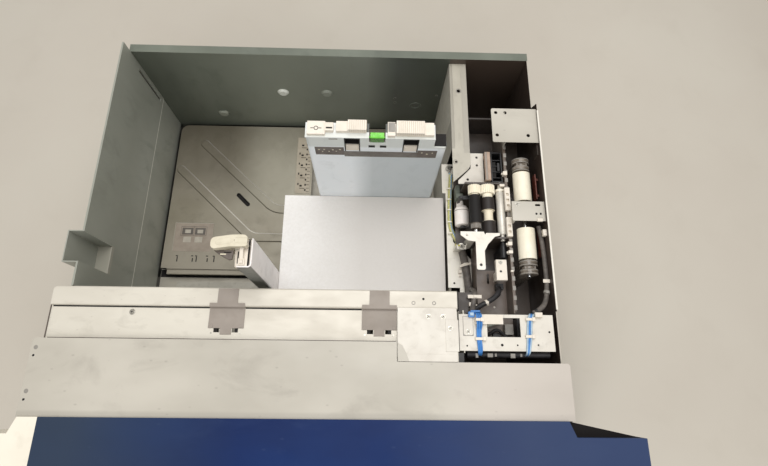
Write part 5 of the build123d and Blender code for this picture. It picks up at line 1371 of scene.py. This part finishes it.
@dataclass
class EndGuideDress(Dress):
    """Smooth release paddle and painted shade in the gap of the end guide's head."""

    axis_x: float = -100.5
    axis_y: float = -35.5
    axis_z: float = 424.0

    def dress(self) -> None:
        """Adds the paddle, the painted shade at the back of the gap and the moulded details of the head."""
        self.paddle()
        form = Form()
        # Dark blocks at the back of the gap, as painted shade.
        form.blocks(DARK_RECESS, (-94.6, -66.5, 403.5, -94.2, -28.5, 413.6), (-108.2, -64, 413.8, -106.4, -47, 414.3))
        form.done("head_gap_shade", Body.TAIL_GUIDE, bevel=0)
        form = Form()
        form.turned([(-9.6, 0), (-9.6, 3.2), (-8.7, 3.4), (-8.7, 0)], (self.axis_x, self.axis_y, self.axis_z), ALONG_Y,
                    WHITE_PLASTIC)
        form.blocks(WHITE_PLASTIC, (-106.5, -66, 414, -97.5, -57, 417), (-104.5, -64.2, 417, -99.5, -60, 419.5))
        form.done("head_mouldings", Body.TAIL_GUIDE, bevel=0.6)

    def paddle(self) -> None:
        """Makes the cream paddle: a rounded tongue, forked round its pin, over a ribbed web and a wing that are painted
        dark as shade.
        """
        x, y, z = self.axis_x, self.axis_y, self.axis_z
        left, right = x - 42, x + 8
        tip = y - 3.5
        outline = [(left + 2.4, tip - 7.4), (left + 6, tip - 8.4), (x - 16, y - 8.8), (x, y - 8.4), (right - 2, y - 8),
                   (right, y - 6), (right, y - 3.6), (x - 9, y - 3.6), (x - 10.6, y), (x - 9, y + 3.6),
                   (right, y + 3.6), (right - 1.2, y + 5.6), (right - 4, y + 8), (x, y + 8.4), (x - 14, y + 8),
                   (left + 6, tip + 8), (left + 2.2, tip + 6.6), (left + 0.3, tip + 3.6), (left, tip),
                   (left + 0.3, tip - 4.4)]
        form = Form()
        form.plate(outline, z - 5, z + 7, LEVER_ABS)
        crown = [(left + 9, tip - 3.4), (x - 16, y - 4.6), (x - 13, y - 3), (x - 13, y + 3), (x - 16, y + 4.6),
                 (left + 9, tip + 3.4), (left + 6.5, tip)]
        form.plate(crown, z + 6.6, z + 7.5, LEVER_ABS)
        # The web and its ribs, in cream ABS painted brown-grey as shade.
        web = [(left + 3, z - 4), (left + 4, z - 10), (left + 7, z - 15.5), (left + 12, z - 20), (left + 18, z - 23.5),
               (left + 26, z - 26), (left + 29.5, z - 24), (left + 30.5, z - 4)]
        form.plate(web, tip - 7.6, tip - 6, SHADED_ABS, axis=1)
        form.plate(web, tip + 5.4, tip + 7, SHADED_ABS, axis=1)
        for i in range(4):
            rib = left + 9 + 5 * i
            form.blocks(SHADED_ABS, (rib, tip - 6.2, z - 14.5 - 2 * i, rib + 1.4, tip + 5.5, z - 4))
        # The wing under the tongue, in the brown film, painted dark as shade.
        wing = [(left + 2.5, tip - 4), (left + 3.5, tip - 9), (left + 9, tip - 13), (left + 17, tip - 17.5),
                (left + 24, tip - 21), (left + 28.5, tip - 20), (left + 30, tip - 4)]
        form.plate(wing, z - 9, z - 4.5, BROWN_FILM)
        form.blocks(LEVER_ABS, (left + 12, tip - 14.5, z - 4.6, left + 20, tip - 12.6, z - 3.4))
        form.blocks(DARK_RECESS, (left + 17, tip - 11.6, z - 4.6, left + 27, tip - 10.2, z - 3.4))
        form.blocks(LEVER_ABS, (x - 10, y - 3.6, z + 5, right - 0.5, y + 3.6, z + 7))
        paddle = form.done("release_paddle", Body.TAIL_LEVER, bevel=1.6, segments=4)
        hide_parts("end_guide_lever")


@dataclass
class FeedDress(Dress):
    """Small pieces round the feed rollers: solenoid, relay, sensor, clips, hubs and terminal."""

    ledge_top: float = 215.0
    deck_top: float = 226.05
    tee_top: float = 304.0
    strip_top: float = 285.0
    axis_z: float = 288.0

    def dress(self) -> None:
        """Adds every small piece of the feed unit."""
        self.solenoid()
        self.relay_and_arm()
        self.clips()
        self.sensor()
        self.gear_hubs()
        self.ground_terminal()
        self.fasteners.screw((217.5, 168, self.ledge_top + 0.9), size=1.5)
        self.fasteners.screw((282, -30, 303), size=0.95)
        self.fasteners.hole((282, -45, 303), 1.8)
        self.fasteners.hole((221, -48, self.ledge_top), 1.7)
        self.fasteners.screw((229.8, 14, self.tee_top - 0.4), size=0.7)
        self.fasteners.hole((216.8, 76, self.ledge_top), 1.4)
        self.ledge_and_strip()
        crown = CrownPattern()
        crown.make("collar_knurl", {
            "Middle": metres((249, 33.5, self.axis_z)), "Radius": 8.1 * MM, "Count": 26,
            "Size": metres((0.9, 0.9, 8.0)), "Finish": GREY_PLASTIC.material()}, Body.FEED_SHAFT, GREY_PLASTIC.slot)

    def ledge_and_strip(self) -> None:
        """Makes the ledge's head beside the ring terminal and the folds of the rear strip."""
        Form().blocks(CREAM_PAINT, (204.5, 119.5, self.ledge_top - 1.2, 212, 177.6, self.ledge_top + 0.05)).done(
            "ledge_head")
        form = Form()
        form.blocks(STRIP_SHEET, (219.4, 182, self.strip_top - 0.2, 220.6, 351, self.strip_top + 0.9),
                    (235.2, 182, self.strip_top - 0.2, 236.4, 351, self.strip_top + 0.6))
        form.turned([(-0.2, 3.3), (-0.2, 5.2), (0.35, 4.7), (0.35, 3.6)], (230, 294, self.strip_top), UP, GREY_PLASTIC)
        form.done("strip_folds", bevel=0.15)
        form = Form()
        for x, y, z, radius in ((223.5, 172, 280, 3.0), (230, 152, 280, 2.8), (219.5, 152, 285, 3.0)):
            form.turned([(-0.2, radius), (-0.2, radius + 1.4), (0.3, radius + 1.1), (0.3, radius + 0.2)], (x, y, z), UP,
                        GREY_PLASTIC)
        form.done("bracket_rims", bevel=0)

    def solenoid(self) -> None:
        """Makes the round pale solenoid with its neck and its black plunger."""
        form = Form()
        can = [(0, 0), (0, 11.2), (0.8, 12.6), (29, 12.8), (30.5, 11.8), (32, 11.8), (33.5, 10.4), (36, 9.0), (36, 0)]
        form.turned(can, (234.6, 49, 239.2), ALONG_Y, PALE_PLASTIC, 36)
        form.turned([(0, 0), (0, 6.6), (9, 6.2), (10, 5.4), (10, 0)], (232, 84.5, 240), ALONG_Y, PALE_PLASTIC)
        form.blocks(PALE_PLASTIC, (226.5, 56, self.deck_top, 245, 80, 230))
        piece = form.done("solenoid_body")
        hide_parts("feed_solenoid")
        form = Form()
        form.ring((0, 4.6), (0, 4.5), (235.75, 45.5, 239), ALONG_Y, BLACK_PLASTIC)
        form.blocks(BLACK_PLASTIC, (231, 44.6, self.deck_top, 240.5, 48.2, 243))
        form.turned([(26.2, 12.7), (27.4, 12.7), (27.4, 13.2), (26.2, 13.2)], (234.6, 49, 239.2), ALONG_Y,
                    GREY_PLASTIC, 36)
        form.done("solenoid_plunger")

    def ground_terminal(self) -> None:
        """Makes the pale tongue in front of the shaft plate, with the ground wires' terminal on it."""
        form = Form()
        form.blocks(CREAM_PAINT, (220.5, 8.4, 216, 238, 10.9, 262), (220.5, 1.4, 259.6, 236, 10.9, 262))
        form.ring((0, 0.9), (2.4, 5.8), (227.6, 5.8, 262), UP, PLATED_STEEL)
        form.done("ground_tongue")
        self.fasteners.screw((227.6, 5.8, 262.9), size=1.25)
        Cable("ground_wire", [
            (227, 24, 217), (222.5, 14, 232), (221.5, 9, 255), (223.5, 7, 264)], 1.4, YELLOW_WIRE).make()

    def relay_and_arm(self) -> None:
        """Makes the grey-green relay beside the gears and the black arm under them."""
        form = Form()
        form.blocks(GREY_GREEN_PLASTIC, (224.6, 97, self.deck_top, 236.5, 106.4, 251),
                    (224.6, 106.4, self.deck_top, 231.4, 122.5, 249), (226, 98.5, 251, 235, 105, 253))
        form.done("relay", bevel=0.6)
        form = Form()
        form.plate([(225, 88.5), (236, 87.5), (268, 89.6), (268, 93.8), (236, 94.6), (225, 93.2)], 268, 271.5,
                   BLACK_PLASTIC)
        form.blocks(BLACK_PLASTIC, (226, 89, self.deck_top, 230.5, 92.8, 268))
        form.ring((0, 3), (0, 2.6), (229, 91, 271.5), UP, BLACK_PLASTIC)
        form.done("sensor_arm", bevel=0.4)

    def clips(self) -> None:
        """Makes the white clips on the channel's inner wall, the small dark motor beside it and the idler's stop."""
        form = Form()
        for y, length in ((126, 7), (2, 6), (-12, 5)):
            form.blocks(WHITE_PLASTIC, (297.6, y - length / 2, 290, 304.6, y + length / 2, 300.5),
                        (295.6, y - 1.6, 293, 297.6, y + 1.6, 297))
        form.blocks(WHITE_PLASTIC, (299.6, -44.6, 293, 304, -41.4, 298.4))
        form.done("channel_clips", bevel=0.5)
        form = Form()
        form.turned([(0, 0), (0, 4.2), (1, 5.2), (22, 5.2), (23, 4.4), (26, 4.4), (26, 3), (29, 3), (29, 0)],
                    (294, -19, 281), ALONG_Y, BLACK_PLASTIC, 30)
        form.blocks(BLACK_PLASTIC, (290.5, -15, self.deck_top, 297.5, 3, 277))
        form.done("small_motor")
        Form().blocks(WHITE_PLASTIC, (291, 102.6, 276, 299.6, 106.8, 297.5)).done("idler_stop", bevel=0.4)

    def sensor(self) -> None:
        """Makes the ribs and board inside the open black box, the idler's sleeve and the felt strip."""
        form = Form()
        for y in (122, 133, 144, 155):
            form.blocks(BLACK_PLASTIC, (282.05, y, 262, 296.95, y + 1.4, 286))
        form.blocks(DARK_RECESS, (283.5, 124.5, 256, 290, 154, 283))
        form.blocks(BLACK_PLASTIC, (291.5, 135, 256, 295.5, 150, 288))
        form.done("sensor_inside")
        sleeve = [(0, 6.3), (0, 7.0), (0.6, 7.3), (73, 7.3), (73.6, 7.0), (73.6, 6.3)]
        Form().turned(sleeve, (292.5, 20, self.axis_z), ALONG_Y, IDLER).done("idler_sleeve", Body.IDLER, bevel=0)
        form = Form()
        form.blocks(TAN_FELT, (272, 113.4, 300, 276.6, 164.6, 300.8))
        form.blocks(INSERT_PLASTIC, (268.4, 113.4, 299.6, 271.6, 164.6, 300.2))
        form.done("felt_strip", bevel=0.2)

    def gear_hubs(self) -> None:
        """Makes the hubs beside the two gears and the split hub of the pull roller."""
        Form().ring((0, 4.6), (3.6, 7.2), (249, 86.2, self.axis_z), ALONG_Y, CREAM_RUBBER).done(
            "feed_gear_hub", Body.FEED_SHAFT, bevel=0.4)
        form = Form()
        form.ring((0, 7.6), (3.6, 8.6), (271, 83.2, self.axis_z), ALONG_Y, CREAM_RUBBER)
        for y in (42.6, 58.8):
            form.ring((0, 1.6), (7.3, 8.4), (271, y, self.axis_z), ALONG_Y, CREAM_RUBBER)
        form.done("pull_gear_hub", Body.PULL_SHAFT)


@dataclass
class ChannelDress(Dress):
    """Guards, clip rings, clips and screws of the take-away channel."""

    axis: Pair = (328.0, 300.0)
    wall: float = 356.35
    bracket_top: float = 320.0
    bearings: Pair = (127.0, -50.0)

    def dress(self) -> None:
        """Adds every small piece of the channel."""
        self.fasteners.screw((312, 63, self.bracket_top))
        for x in (342, 349):
            self.fasteners.hole((x, 47, self.bracket_top), 1.9)
        self.bars.row("channel_tabs", (303.6, -101, 296.2), (0, 15.4, 0), 22, (4.6, 7.0, 0.9), GREY_PLASTIC)
        Form().blocks(SHELF_PAINT, (300.5, -107, 295.2, 304.8, 235, 296.2)).done("channel_flange", bevel=0.2)
        self.guards()
        self.bearing_clips()
        self.roller_ends()
        Form().blocks(WHITE_PLASTIC, (342, 33.4, 318.5, 351, 38.6, 323), (350.2, 10.5, 312, 356.3, 21, 320)).done(
            "cable_clips", bevel=0.6)
        Form().plate([(354.4, 155), (self.wall, 153), (self.wall, 176), (354.4, 174)], 296, 316, DARK_PAINT).done(
            "wall_tab", bevel=0.2)

    def guards(self) -> None:
        """Makes the red-brown guard strips between the rollers and the right wall."""
        form = Form()
        for y0, y1 in ((78, 123), (-19, 27)):
            form.blocks(RED_BROWN, (349.6, y0, 288, 351.6, y1, 305), (351.6, y0 + 6, 290, self.wall, y0 + 10, 300),
                        (351.6, y1 - 10, 290, self.wall, y1 - 6, 300))
        form.done("roller_guards")

    def bearing_clips(self) -> None:
        """Makes the pale rims of the bearings' rings and the clip between them."""
        x, z = self.axis
        form = Form()
        for y0 in self.bearings:
            for start in (0.4, 6.4, 14.4, 20.4):
                form.ring((0, 1.2), (12.6, 14.5), (x, y0 + start, z), ALONG_Y, GREY_PLASTIC, 36)
            form.ring((0, 3.4), (5, 11), (x, y0 + 9.3, z), ALONG_Y, BEARING_PLASTIC, 36)
        form.done("bearing_rims", bevel=0.2)

    def roller_ends(self) -> None:
        """Makes the hubs at the ends of the cream rollers."""
        x, z = self.axis
        form = Form()
        for y in (71.4, 124.0, -26.6, 26.0):
            form.ring((0, 1.6), (3.7, 6.5), (x, y, z), ALONG_Y, WHITE_PLASTIC)
        form.done("roller_hubs", Body.TAKEAWAY, bevel=0.2)


@dataclass
class Wiring(Dress):
    """Tube, harness, cables, ties and connectors."""

    tie_gauge: float = 1.1
    tie_width: float = 4.0
    ledge_top: float = 215.05
    strip_top: float = 285.05
    bracket_top: float = 326.05
    wall: float = 356.3
    tube: tuple[Triple, ...] = ((220.9, 155, 218.7), (215.9, 95, 218.7), (215.9, 40, 218.7), (233.9, 19, 218.7))
    ledge_run: tuple[Triple, ...] = ((235.4, 7, 221.6), (245.4, -28, 221.6), (245.4, -103.7, 221.6))
    wall_run: tuple[Triple, ...] = (
        (349.7, 31, 301), (352.7, 4, 305), (352.9, -60, 307), (350.5, -76, 310), (345.5, -94, 316), (336, -106, 322),
        (322, -113, 323))
    front_run: tuple[Triple, ...] = (
        (220, -173.9, 315.2), (265, -173.9, 312.2), (299, -173.9, 313.2), (344, -173.9, 314.2))

    def dress(self) -> None:
        """Adds the cables with what holds them."""
        self.ledge_tube()
        self.harness()
        self.blue_wires()
        self.connectors()

    def ledge_tube(self) -> None:
        """Makes the clear tube with its wires and rings, and the ring terminal with its wire."""
        Cable("wire_tube_clear", self.tube, 4.0, CLEAR_VINYL, stands_for="wire_tube").make()
        for name, finish, dx, dz in (("yellow", YELLOW_WIRE, -1.9, -0.6), ("blue", BLUE_WIRE, 1.7, 0.4),
                                     ("green", YELLOW_WIRE, 0.0, -1.2)):
            Cable(f"tube_wire_{name}", [(x + dx, y, z + dz) for x, y, z in self.tube], 1.3, finish).make()
        Cable("outer_wire_yellow", [
            (224.5, 150, 216.8), (219.9, 120, 216.6), (219.9, 60, 216.6), (220.5, 44, 216.6),
            (238, 30, 217)], 1.2, YELLOW_WIRE).make()
        Cable("terminal_wire", [(218.3, 160, 216.9), (219, 154, 218), (220.9, 146, 218.7)], 1.5, PALE_BLUE_WIRE).make()
        form = Form()
        form.ring((0, 0.6), (2.2, 4.6), (219, 168, 215.02), UP, PLATED_STEEL)
        form.ring((0, 6), (1.2, 2.1), (218.2, 158.4, 217), (0.06, 1, 0), PLATED_STEEL)
        form.done("ring_terminals", bevel=0.1)
        form = Form()
        for x, y in ((216.4, 126), (215.9, 105), (215.9, 85), (215.9, 62), (216.6, 41)):
            form.ring((-1.2, 1.2), (3.95, 4.4), (x, y, 218.7), ALONG_Y, CREAM_ABS)
        form.done("tube_rings", bevel=0)

    def tie(self, form: Form, place: Triple, direction: Triple, radius: float, finish: Finish = WHITE_PLASTIC) -> None:
        """Adds a cable tie round a run, with its lock.

        Args:
            form: The form that it goes in.
            place: Middle of the run there.
            direction: Direction of the run.
            radius: Radius of the bundle.
            finish: Its finish.
        """
        half = self.tie_width / 2
        form.ring((-half, half), (radius, radius + self.tie_gauge), place, direction, finish)
        x, y, z = place
        form.blocks(finish, (x - half - 0.5, y - half, z + radius, x + half + 0.5, y + half, z + radius + 2.4))

    def harness(self) -> None:
        """Makes the three runs of the black harness with their ties."""
        Cable("harness_ledge", self.ledge_run, 6.8, BRAID, stands_for="black_harness").make()
        Cable("harness_wall", self.wall_run, 3.9, BRAID, stands_for="black_harness").make()
        Cable("harness_front", self.front_run, 4.2, BLACK_TAPE, stands_for="black_harness").make()
        Cable("ledge_grey_cable", [
            (228, 32, 219), (242, 28, 224), (252, 18, 226), (254.4, -2, 226), (255, -40, 226), (255, -78, 226),
            (253, -104, 224)], 2.2, GREY_WIRE).make()
        Cable("flange_harness", [
            (246, -64, 240), (243, -74, 284), (239, -88, 291), (236, -102, 291), (234, -110, 300)], 4.6, BRAID).make()
        Cable("shelf_cable", [
            (286, -64, 262), (284, -70, 284), (272, -86, 292), (252, -96, 290), (240, -104, 291), (236, -113, 300),
            (236, -114, 320)], 4.0, BLACK_TAPE).make()
        Cable("shelf_cable_thin", [
            (289, -74, 258), (278, -84, 270), (262, -92, 284), (246, -99, 290),
            (240, -112, 305)], 1.8, BLACK_PLASTIC).make()
        form = Form()
        self.tie(form, (239.0, -17, 221.6), (0.3, -1, 0), 6.9)
        form.plate([(228.6, -23.5), (229.8, -19.2), (249.6, -13.2), (249.0, -17.4)], 228.4, 230.2, WHITE_PLASTIC)
        self.tie(form, (240.4, -84, 289.6), (-0.2, -1, 0), 4.7)
        form.blocks(WHITE_PLASTIC, (229, -87, 293.4, 251, -81.5, 295), (231, -99, self.strip_top, 238, -93, 293),
                    (240.5, -103, self.strip_top, 244, -96, 291))
        self.tie(form, (352.8, -61, 307), ALONG_Y, 3.9)
        self.tie(form, (259, -93.4, 290.6), (1, 0.45, 0), 4.0)
        form.blocks(WHITE_PLASTIC, (228.4, -31, self.ledge_top, 233.5, -26, 222),
                    (229.4, -37, self.ledge_top, 233.5, -33.6, 219.5), (345.5, -64, 311, self.wall, -58.4, 312.6))
        form.turned([(0, 0), (0, 1.8), (1, 1.6), (1, 0)], (279, -95, 256), UP, WHITE_PLASTIC)
        form.done("harness_ties")
        form = Form()
        self.tie(form, (349.5, -79, 311), (-0.3, -1, 0.2), 3.9, GREY_PLASTIC)
        form.done("harness_grey_tie")

    def blue_wires(self) -> None:
        """Makes the blue wires that cross the corner bracket, and their ties."""
        for i, dx in enumerate((-3.0, 0.0, 3.0)):
            Cable(f"corner_wire_blue_{i}", [
                (236 + dx, -112, 318 - i), (236.5 + dx, -115.5, 336), (237 + dx, -124, 335.5), (237.5 + dx, -134, 334),
                (237 + dx * 0.8, -139, 328), (237 + dx * 0.8, -152, 327.8), (238 + dx * 0.8, -166, 328.2),
                (238 + dx * 0.6, -173, 326), (239 + dx * 0.6, -174.5, 317)], 1.45, BLUE_WIRE).make()
        for i, dx in enumerate((-2.6, 0.2, 3.0)):
            Cable(f"corner_wire_pale_{i}", [
                (322 + dx, -113.5, 312), (318 + dx, -115, 329), (314.5 + dx, -122, 328.6), (313 + dx, -136, 327.8),
                (312 + dx, -150, 327.8), (309.5 + dx * 0.8, -166, 328), (309 + dx * 0.6, -173, 326),
                (309 + dx * 0.6, -174.5, 317)], 1.4, BLUE_WIRE if i == 1 else PALE_BLUE_WIRE).make()
        form = Form()
        for x, y, z, width in ((237, -125, 336.6, 11), (238.5, -152, 329, 15), (314.5, -123, 330, 13),
                               (312.5, -148, 329.2, 13)):
            form.blocks(WHITE_PLASTIC, (x - width / 2, y - 2, z, x + width / 2, y + 2, z + 1.6),
                        (x - width / 2, y - 2, self.bracket_top, x - width / 2 + 1.2, y + 2, z),
                        (x + width / 2 - 1.2, y - 2, self.bracket_top, x + width / 2, y + 2, z),
                        (x + width / 2 - 4, y - 2.8, z, x + width / 2 + 0.6, y + 2.8, z + 3.2))
        form.done("corner_ties")

    def connectors(self) -> None:
        """Makes the connectors at the corner, in its window and in the gap in front of it."""
        form = Form()
        form.blocks(BLUE_WIRE, (222, -121, self.bracket_top, 231, -113, 332))
        form.blocks(PALE_BLUE_WIRE, (224, -119, 332, 229.5, -114.5, 334))
        form.blocks(BLUE_WIRE, (226, -113, 318, 240, -110.5, 330))
        form.done("blue_connector", bevel=0.4)
        form = Form()
        form.blocks(WHITE_PLASTIC, (322, -120, self.bracket_top, 333, -113, 333))
        form.ring((0, 4), (3.8, 5.6), (329, -110, 322.6), (-1, -0.5, 0), BLACK_PLASTIC)
        form.done("right_connector", bevel=0.4)
        form = Form()
        form.blocks(SHELF_PAINT, (244, -150, 246, 303, -113.1, 276))
        form.blocks(GREY_PLASTIC, (286, -142, 276, 299, -126, 290))
        form.blocks(BLACK_PLASTIC, (303, -146, 262, 307.5, -118, 298), (268, -147, 276, 281, -139, 283))
        form.done("window_connector", bevel=0.5)
        Cable("window_cable", [
            (248, -146, 279), (262, -142, 286), (274, -132, 288), (288, -146, 286),
            (302, -149, 282)], 2.6, BLACK_TAPE).make()
        Cable("window_cable_grey", [
            (246, -132, 279), (260, -130, 288), (272, -124, 288), (284, -120, 282)], 2.0, GREY_WIRE).make()
        Form().blocks(BLACK_PLASTIC, (281, -68, 256.05, 293, -58, 270)).done("shelf_socket", bevel=0.5)
        form = Form()
        for x, width, lift in ((232, 4, 0), (250, 8, 1), (261, 3, 2), (284, 7, 0), (299, 3, 2)):
            form.blocks(GREY_PLASTIC, (x, -178.6 + lift, 316.6 - lift, x + width, -172, 320.4 - lift))
        form.done("front_gap_clips", bevel=0.4)


@dataclass
class CornerDress(Dress):
    """Screws, holes and painted shadow round the tab of the corner bracket."""

    top: float = 326.0
    tab_top: float = 327.2

    def dress(self) -> None:
        """Adds the screws, the holes and the painted shadow round the tab."""
        self.fasteners.screw((221.5, -141.5, self.tab_top))
        for x, y, radius in ((271, -160.5, 2.0), (294, -160.5, 1.2), (325, -160, 1.3), (343, -141, 1.5),
                             (219, -162, 1.2)):
            self.fasteners.hole((x, y, self.top), radius)
        # Grey strip round the tab, as painted shadow.
        Form().blocks(GREY_PLASTIC, (213.8, -147.8, self.top - 0.1, 229.2, -119.2, self.top + 0.3)).done(
            "corner_tab_shadow", bevel=0)


@dataclass
class Studio:
    """Plain pale floor and plain soft light."""

    floor_half: float = 4.0
    world_colour: str = "#f7f5f2"
    world_strength: float = 0.55
    target: Triple = (0.0, 0.0, 0.2)
    key_watts: float = 25.5
    key_place: Triple = (0.15, 0.4, 2.2)
    key_size: float = 1.3
    fill_watts: float = 13.0
    fill_place: Triple = (-0.1, -1.7, 1.9)
    fill_size: float = 1.4

    def make(self) -> None:
        """Makes world, lamps and floor."""
        scene = bpy.context.scene
        scene.view_settings.view_transform = "Standard"
        world = bpy.data.worlds.new("studio")
        world.use_nodes = True
        background = world.node_tree.nodes["Background"]
        background.inputs[0].default_value = linear(self.world_colour)
        background.inputs[1].default_value = self.world_strength
        scene.world = world
        for name, watts, place, size in (("key", self.key_watts, self.key_place, self.key_size),
                                         ("fill", self.fill_watts, self.fill_place, self.fill_size)):
            data = bpy.data.lights.new(name, "AREA")
            data.energy = watts
            data.size = size
            aim = Vector(self.target) - Vector(place)
            turn = aim.to_track_quat("-Z", "Y").to_matrix().to_4x4()
            linked(name, data).matrix_world = Matrix.Translation(place) @ turn
        half = self.floor_half
        mesh = bpy.data.meshes.new("floor")
        mesh.from_pydata([(-half, -half, 0), (half, -half, 0), (half, half, 0), (-half, half, 0)], [], [(0, 1, 2, 3)])
        mesh.materials.append(SCREED.material())
        floor = linked("floor", mesh)


@dataclass
class Viewpoint:
    """Camera at the viewing angle of the photograph, held over the front of the drawer."""

    place: Triple = (75 * MM, -225 * MM, 1130 * MM)
    tilt: float = math.radians(19.8)
    yaw: float = math.radians(-3.81)
    roll: float = math.radians(4.62)
    focal_px: float = 530.0
    centre_row_px: float = 200.0
    width_px: float = 768.0
    height_px: float = 466.0
    sensor_mm: float = 36.0

    def turn(self) -> Matrix:
        """Works out the camera's turn.

        Returns:
            A matrix with the camera's right, up and backward axes as columns.
        """
        (ct, st), (cr, sr), (cy, sy) = ((math.cos(a), math.sin(a)) for a in (self.tilt, self.roll, self.yaw))
        tilted = Matrix(((1, 0, 0), (0, ct, st), (0, st, -ct)))
        rolled = Matrix(((cr, sr, 0), (-sr, cr, 0), (0, 0, 1)))
        yawed = Matrix(((cy, sy, 0), (-sy, cy, 0), (0, 0, 1)))
        right, up, forward = rolled @ tilted @ yawed
        return Matrix((right, up, -forward)).transposed()

    def make(self) -> None:
        """Makes the camera and sets it as the scene's."""
        data = bpy.data.cameras.new("viewpoint")
        data.sensor_fit = "HORIZONTAL"
        data.sensor_width = self.sensor_mm
        data.lens = self.focal_px / self.width_px * self.sensor_mm
        data.shift_y = (self.centre_row_px - self.height_px / 2) / self.width_px
        data.clip_start = 0.01
        camera = linked("viewpoint", data)
        camera.matrix_world = Matrix.Translation(self.place) @ self.turn().to_4x4()
        bpy.context.scene.camera = camera


def finish_nodes() -> None:
    """Gives every node of the frame its finish."""
    for name, finish in NODE_FINISHES.items():
        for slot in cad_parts[name].material_slots:
            slot.material = finish.material()
        LOG.info("%s: %s", name, finish.name)


def main() -> None:
    """Builds every sub-assembly in order."""
    logging.basicConfig(level=logging.INFO, format="%(message)s")
    Viewpoint().make()
    Studio().make()
    finish_nodes()
    fasteners, bars = Fasteners(), Bars()
    for kind in (Shell, LiftDress, RearGuideDress, EndGuideDress, FeedDress, ChannelDress, Wiring, CornerDress):
        kind(fasteners, bars).dress()
        LOG.info("%s dressed", kind.__name__)
    fasteners.make()
    bpy.context.view_layer.update()


if __name__ == "__main__":
    main()
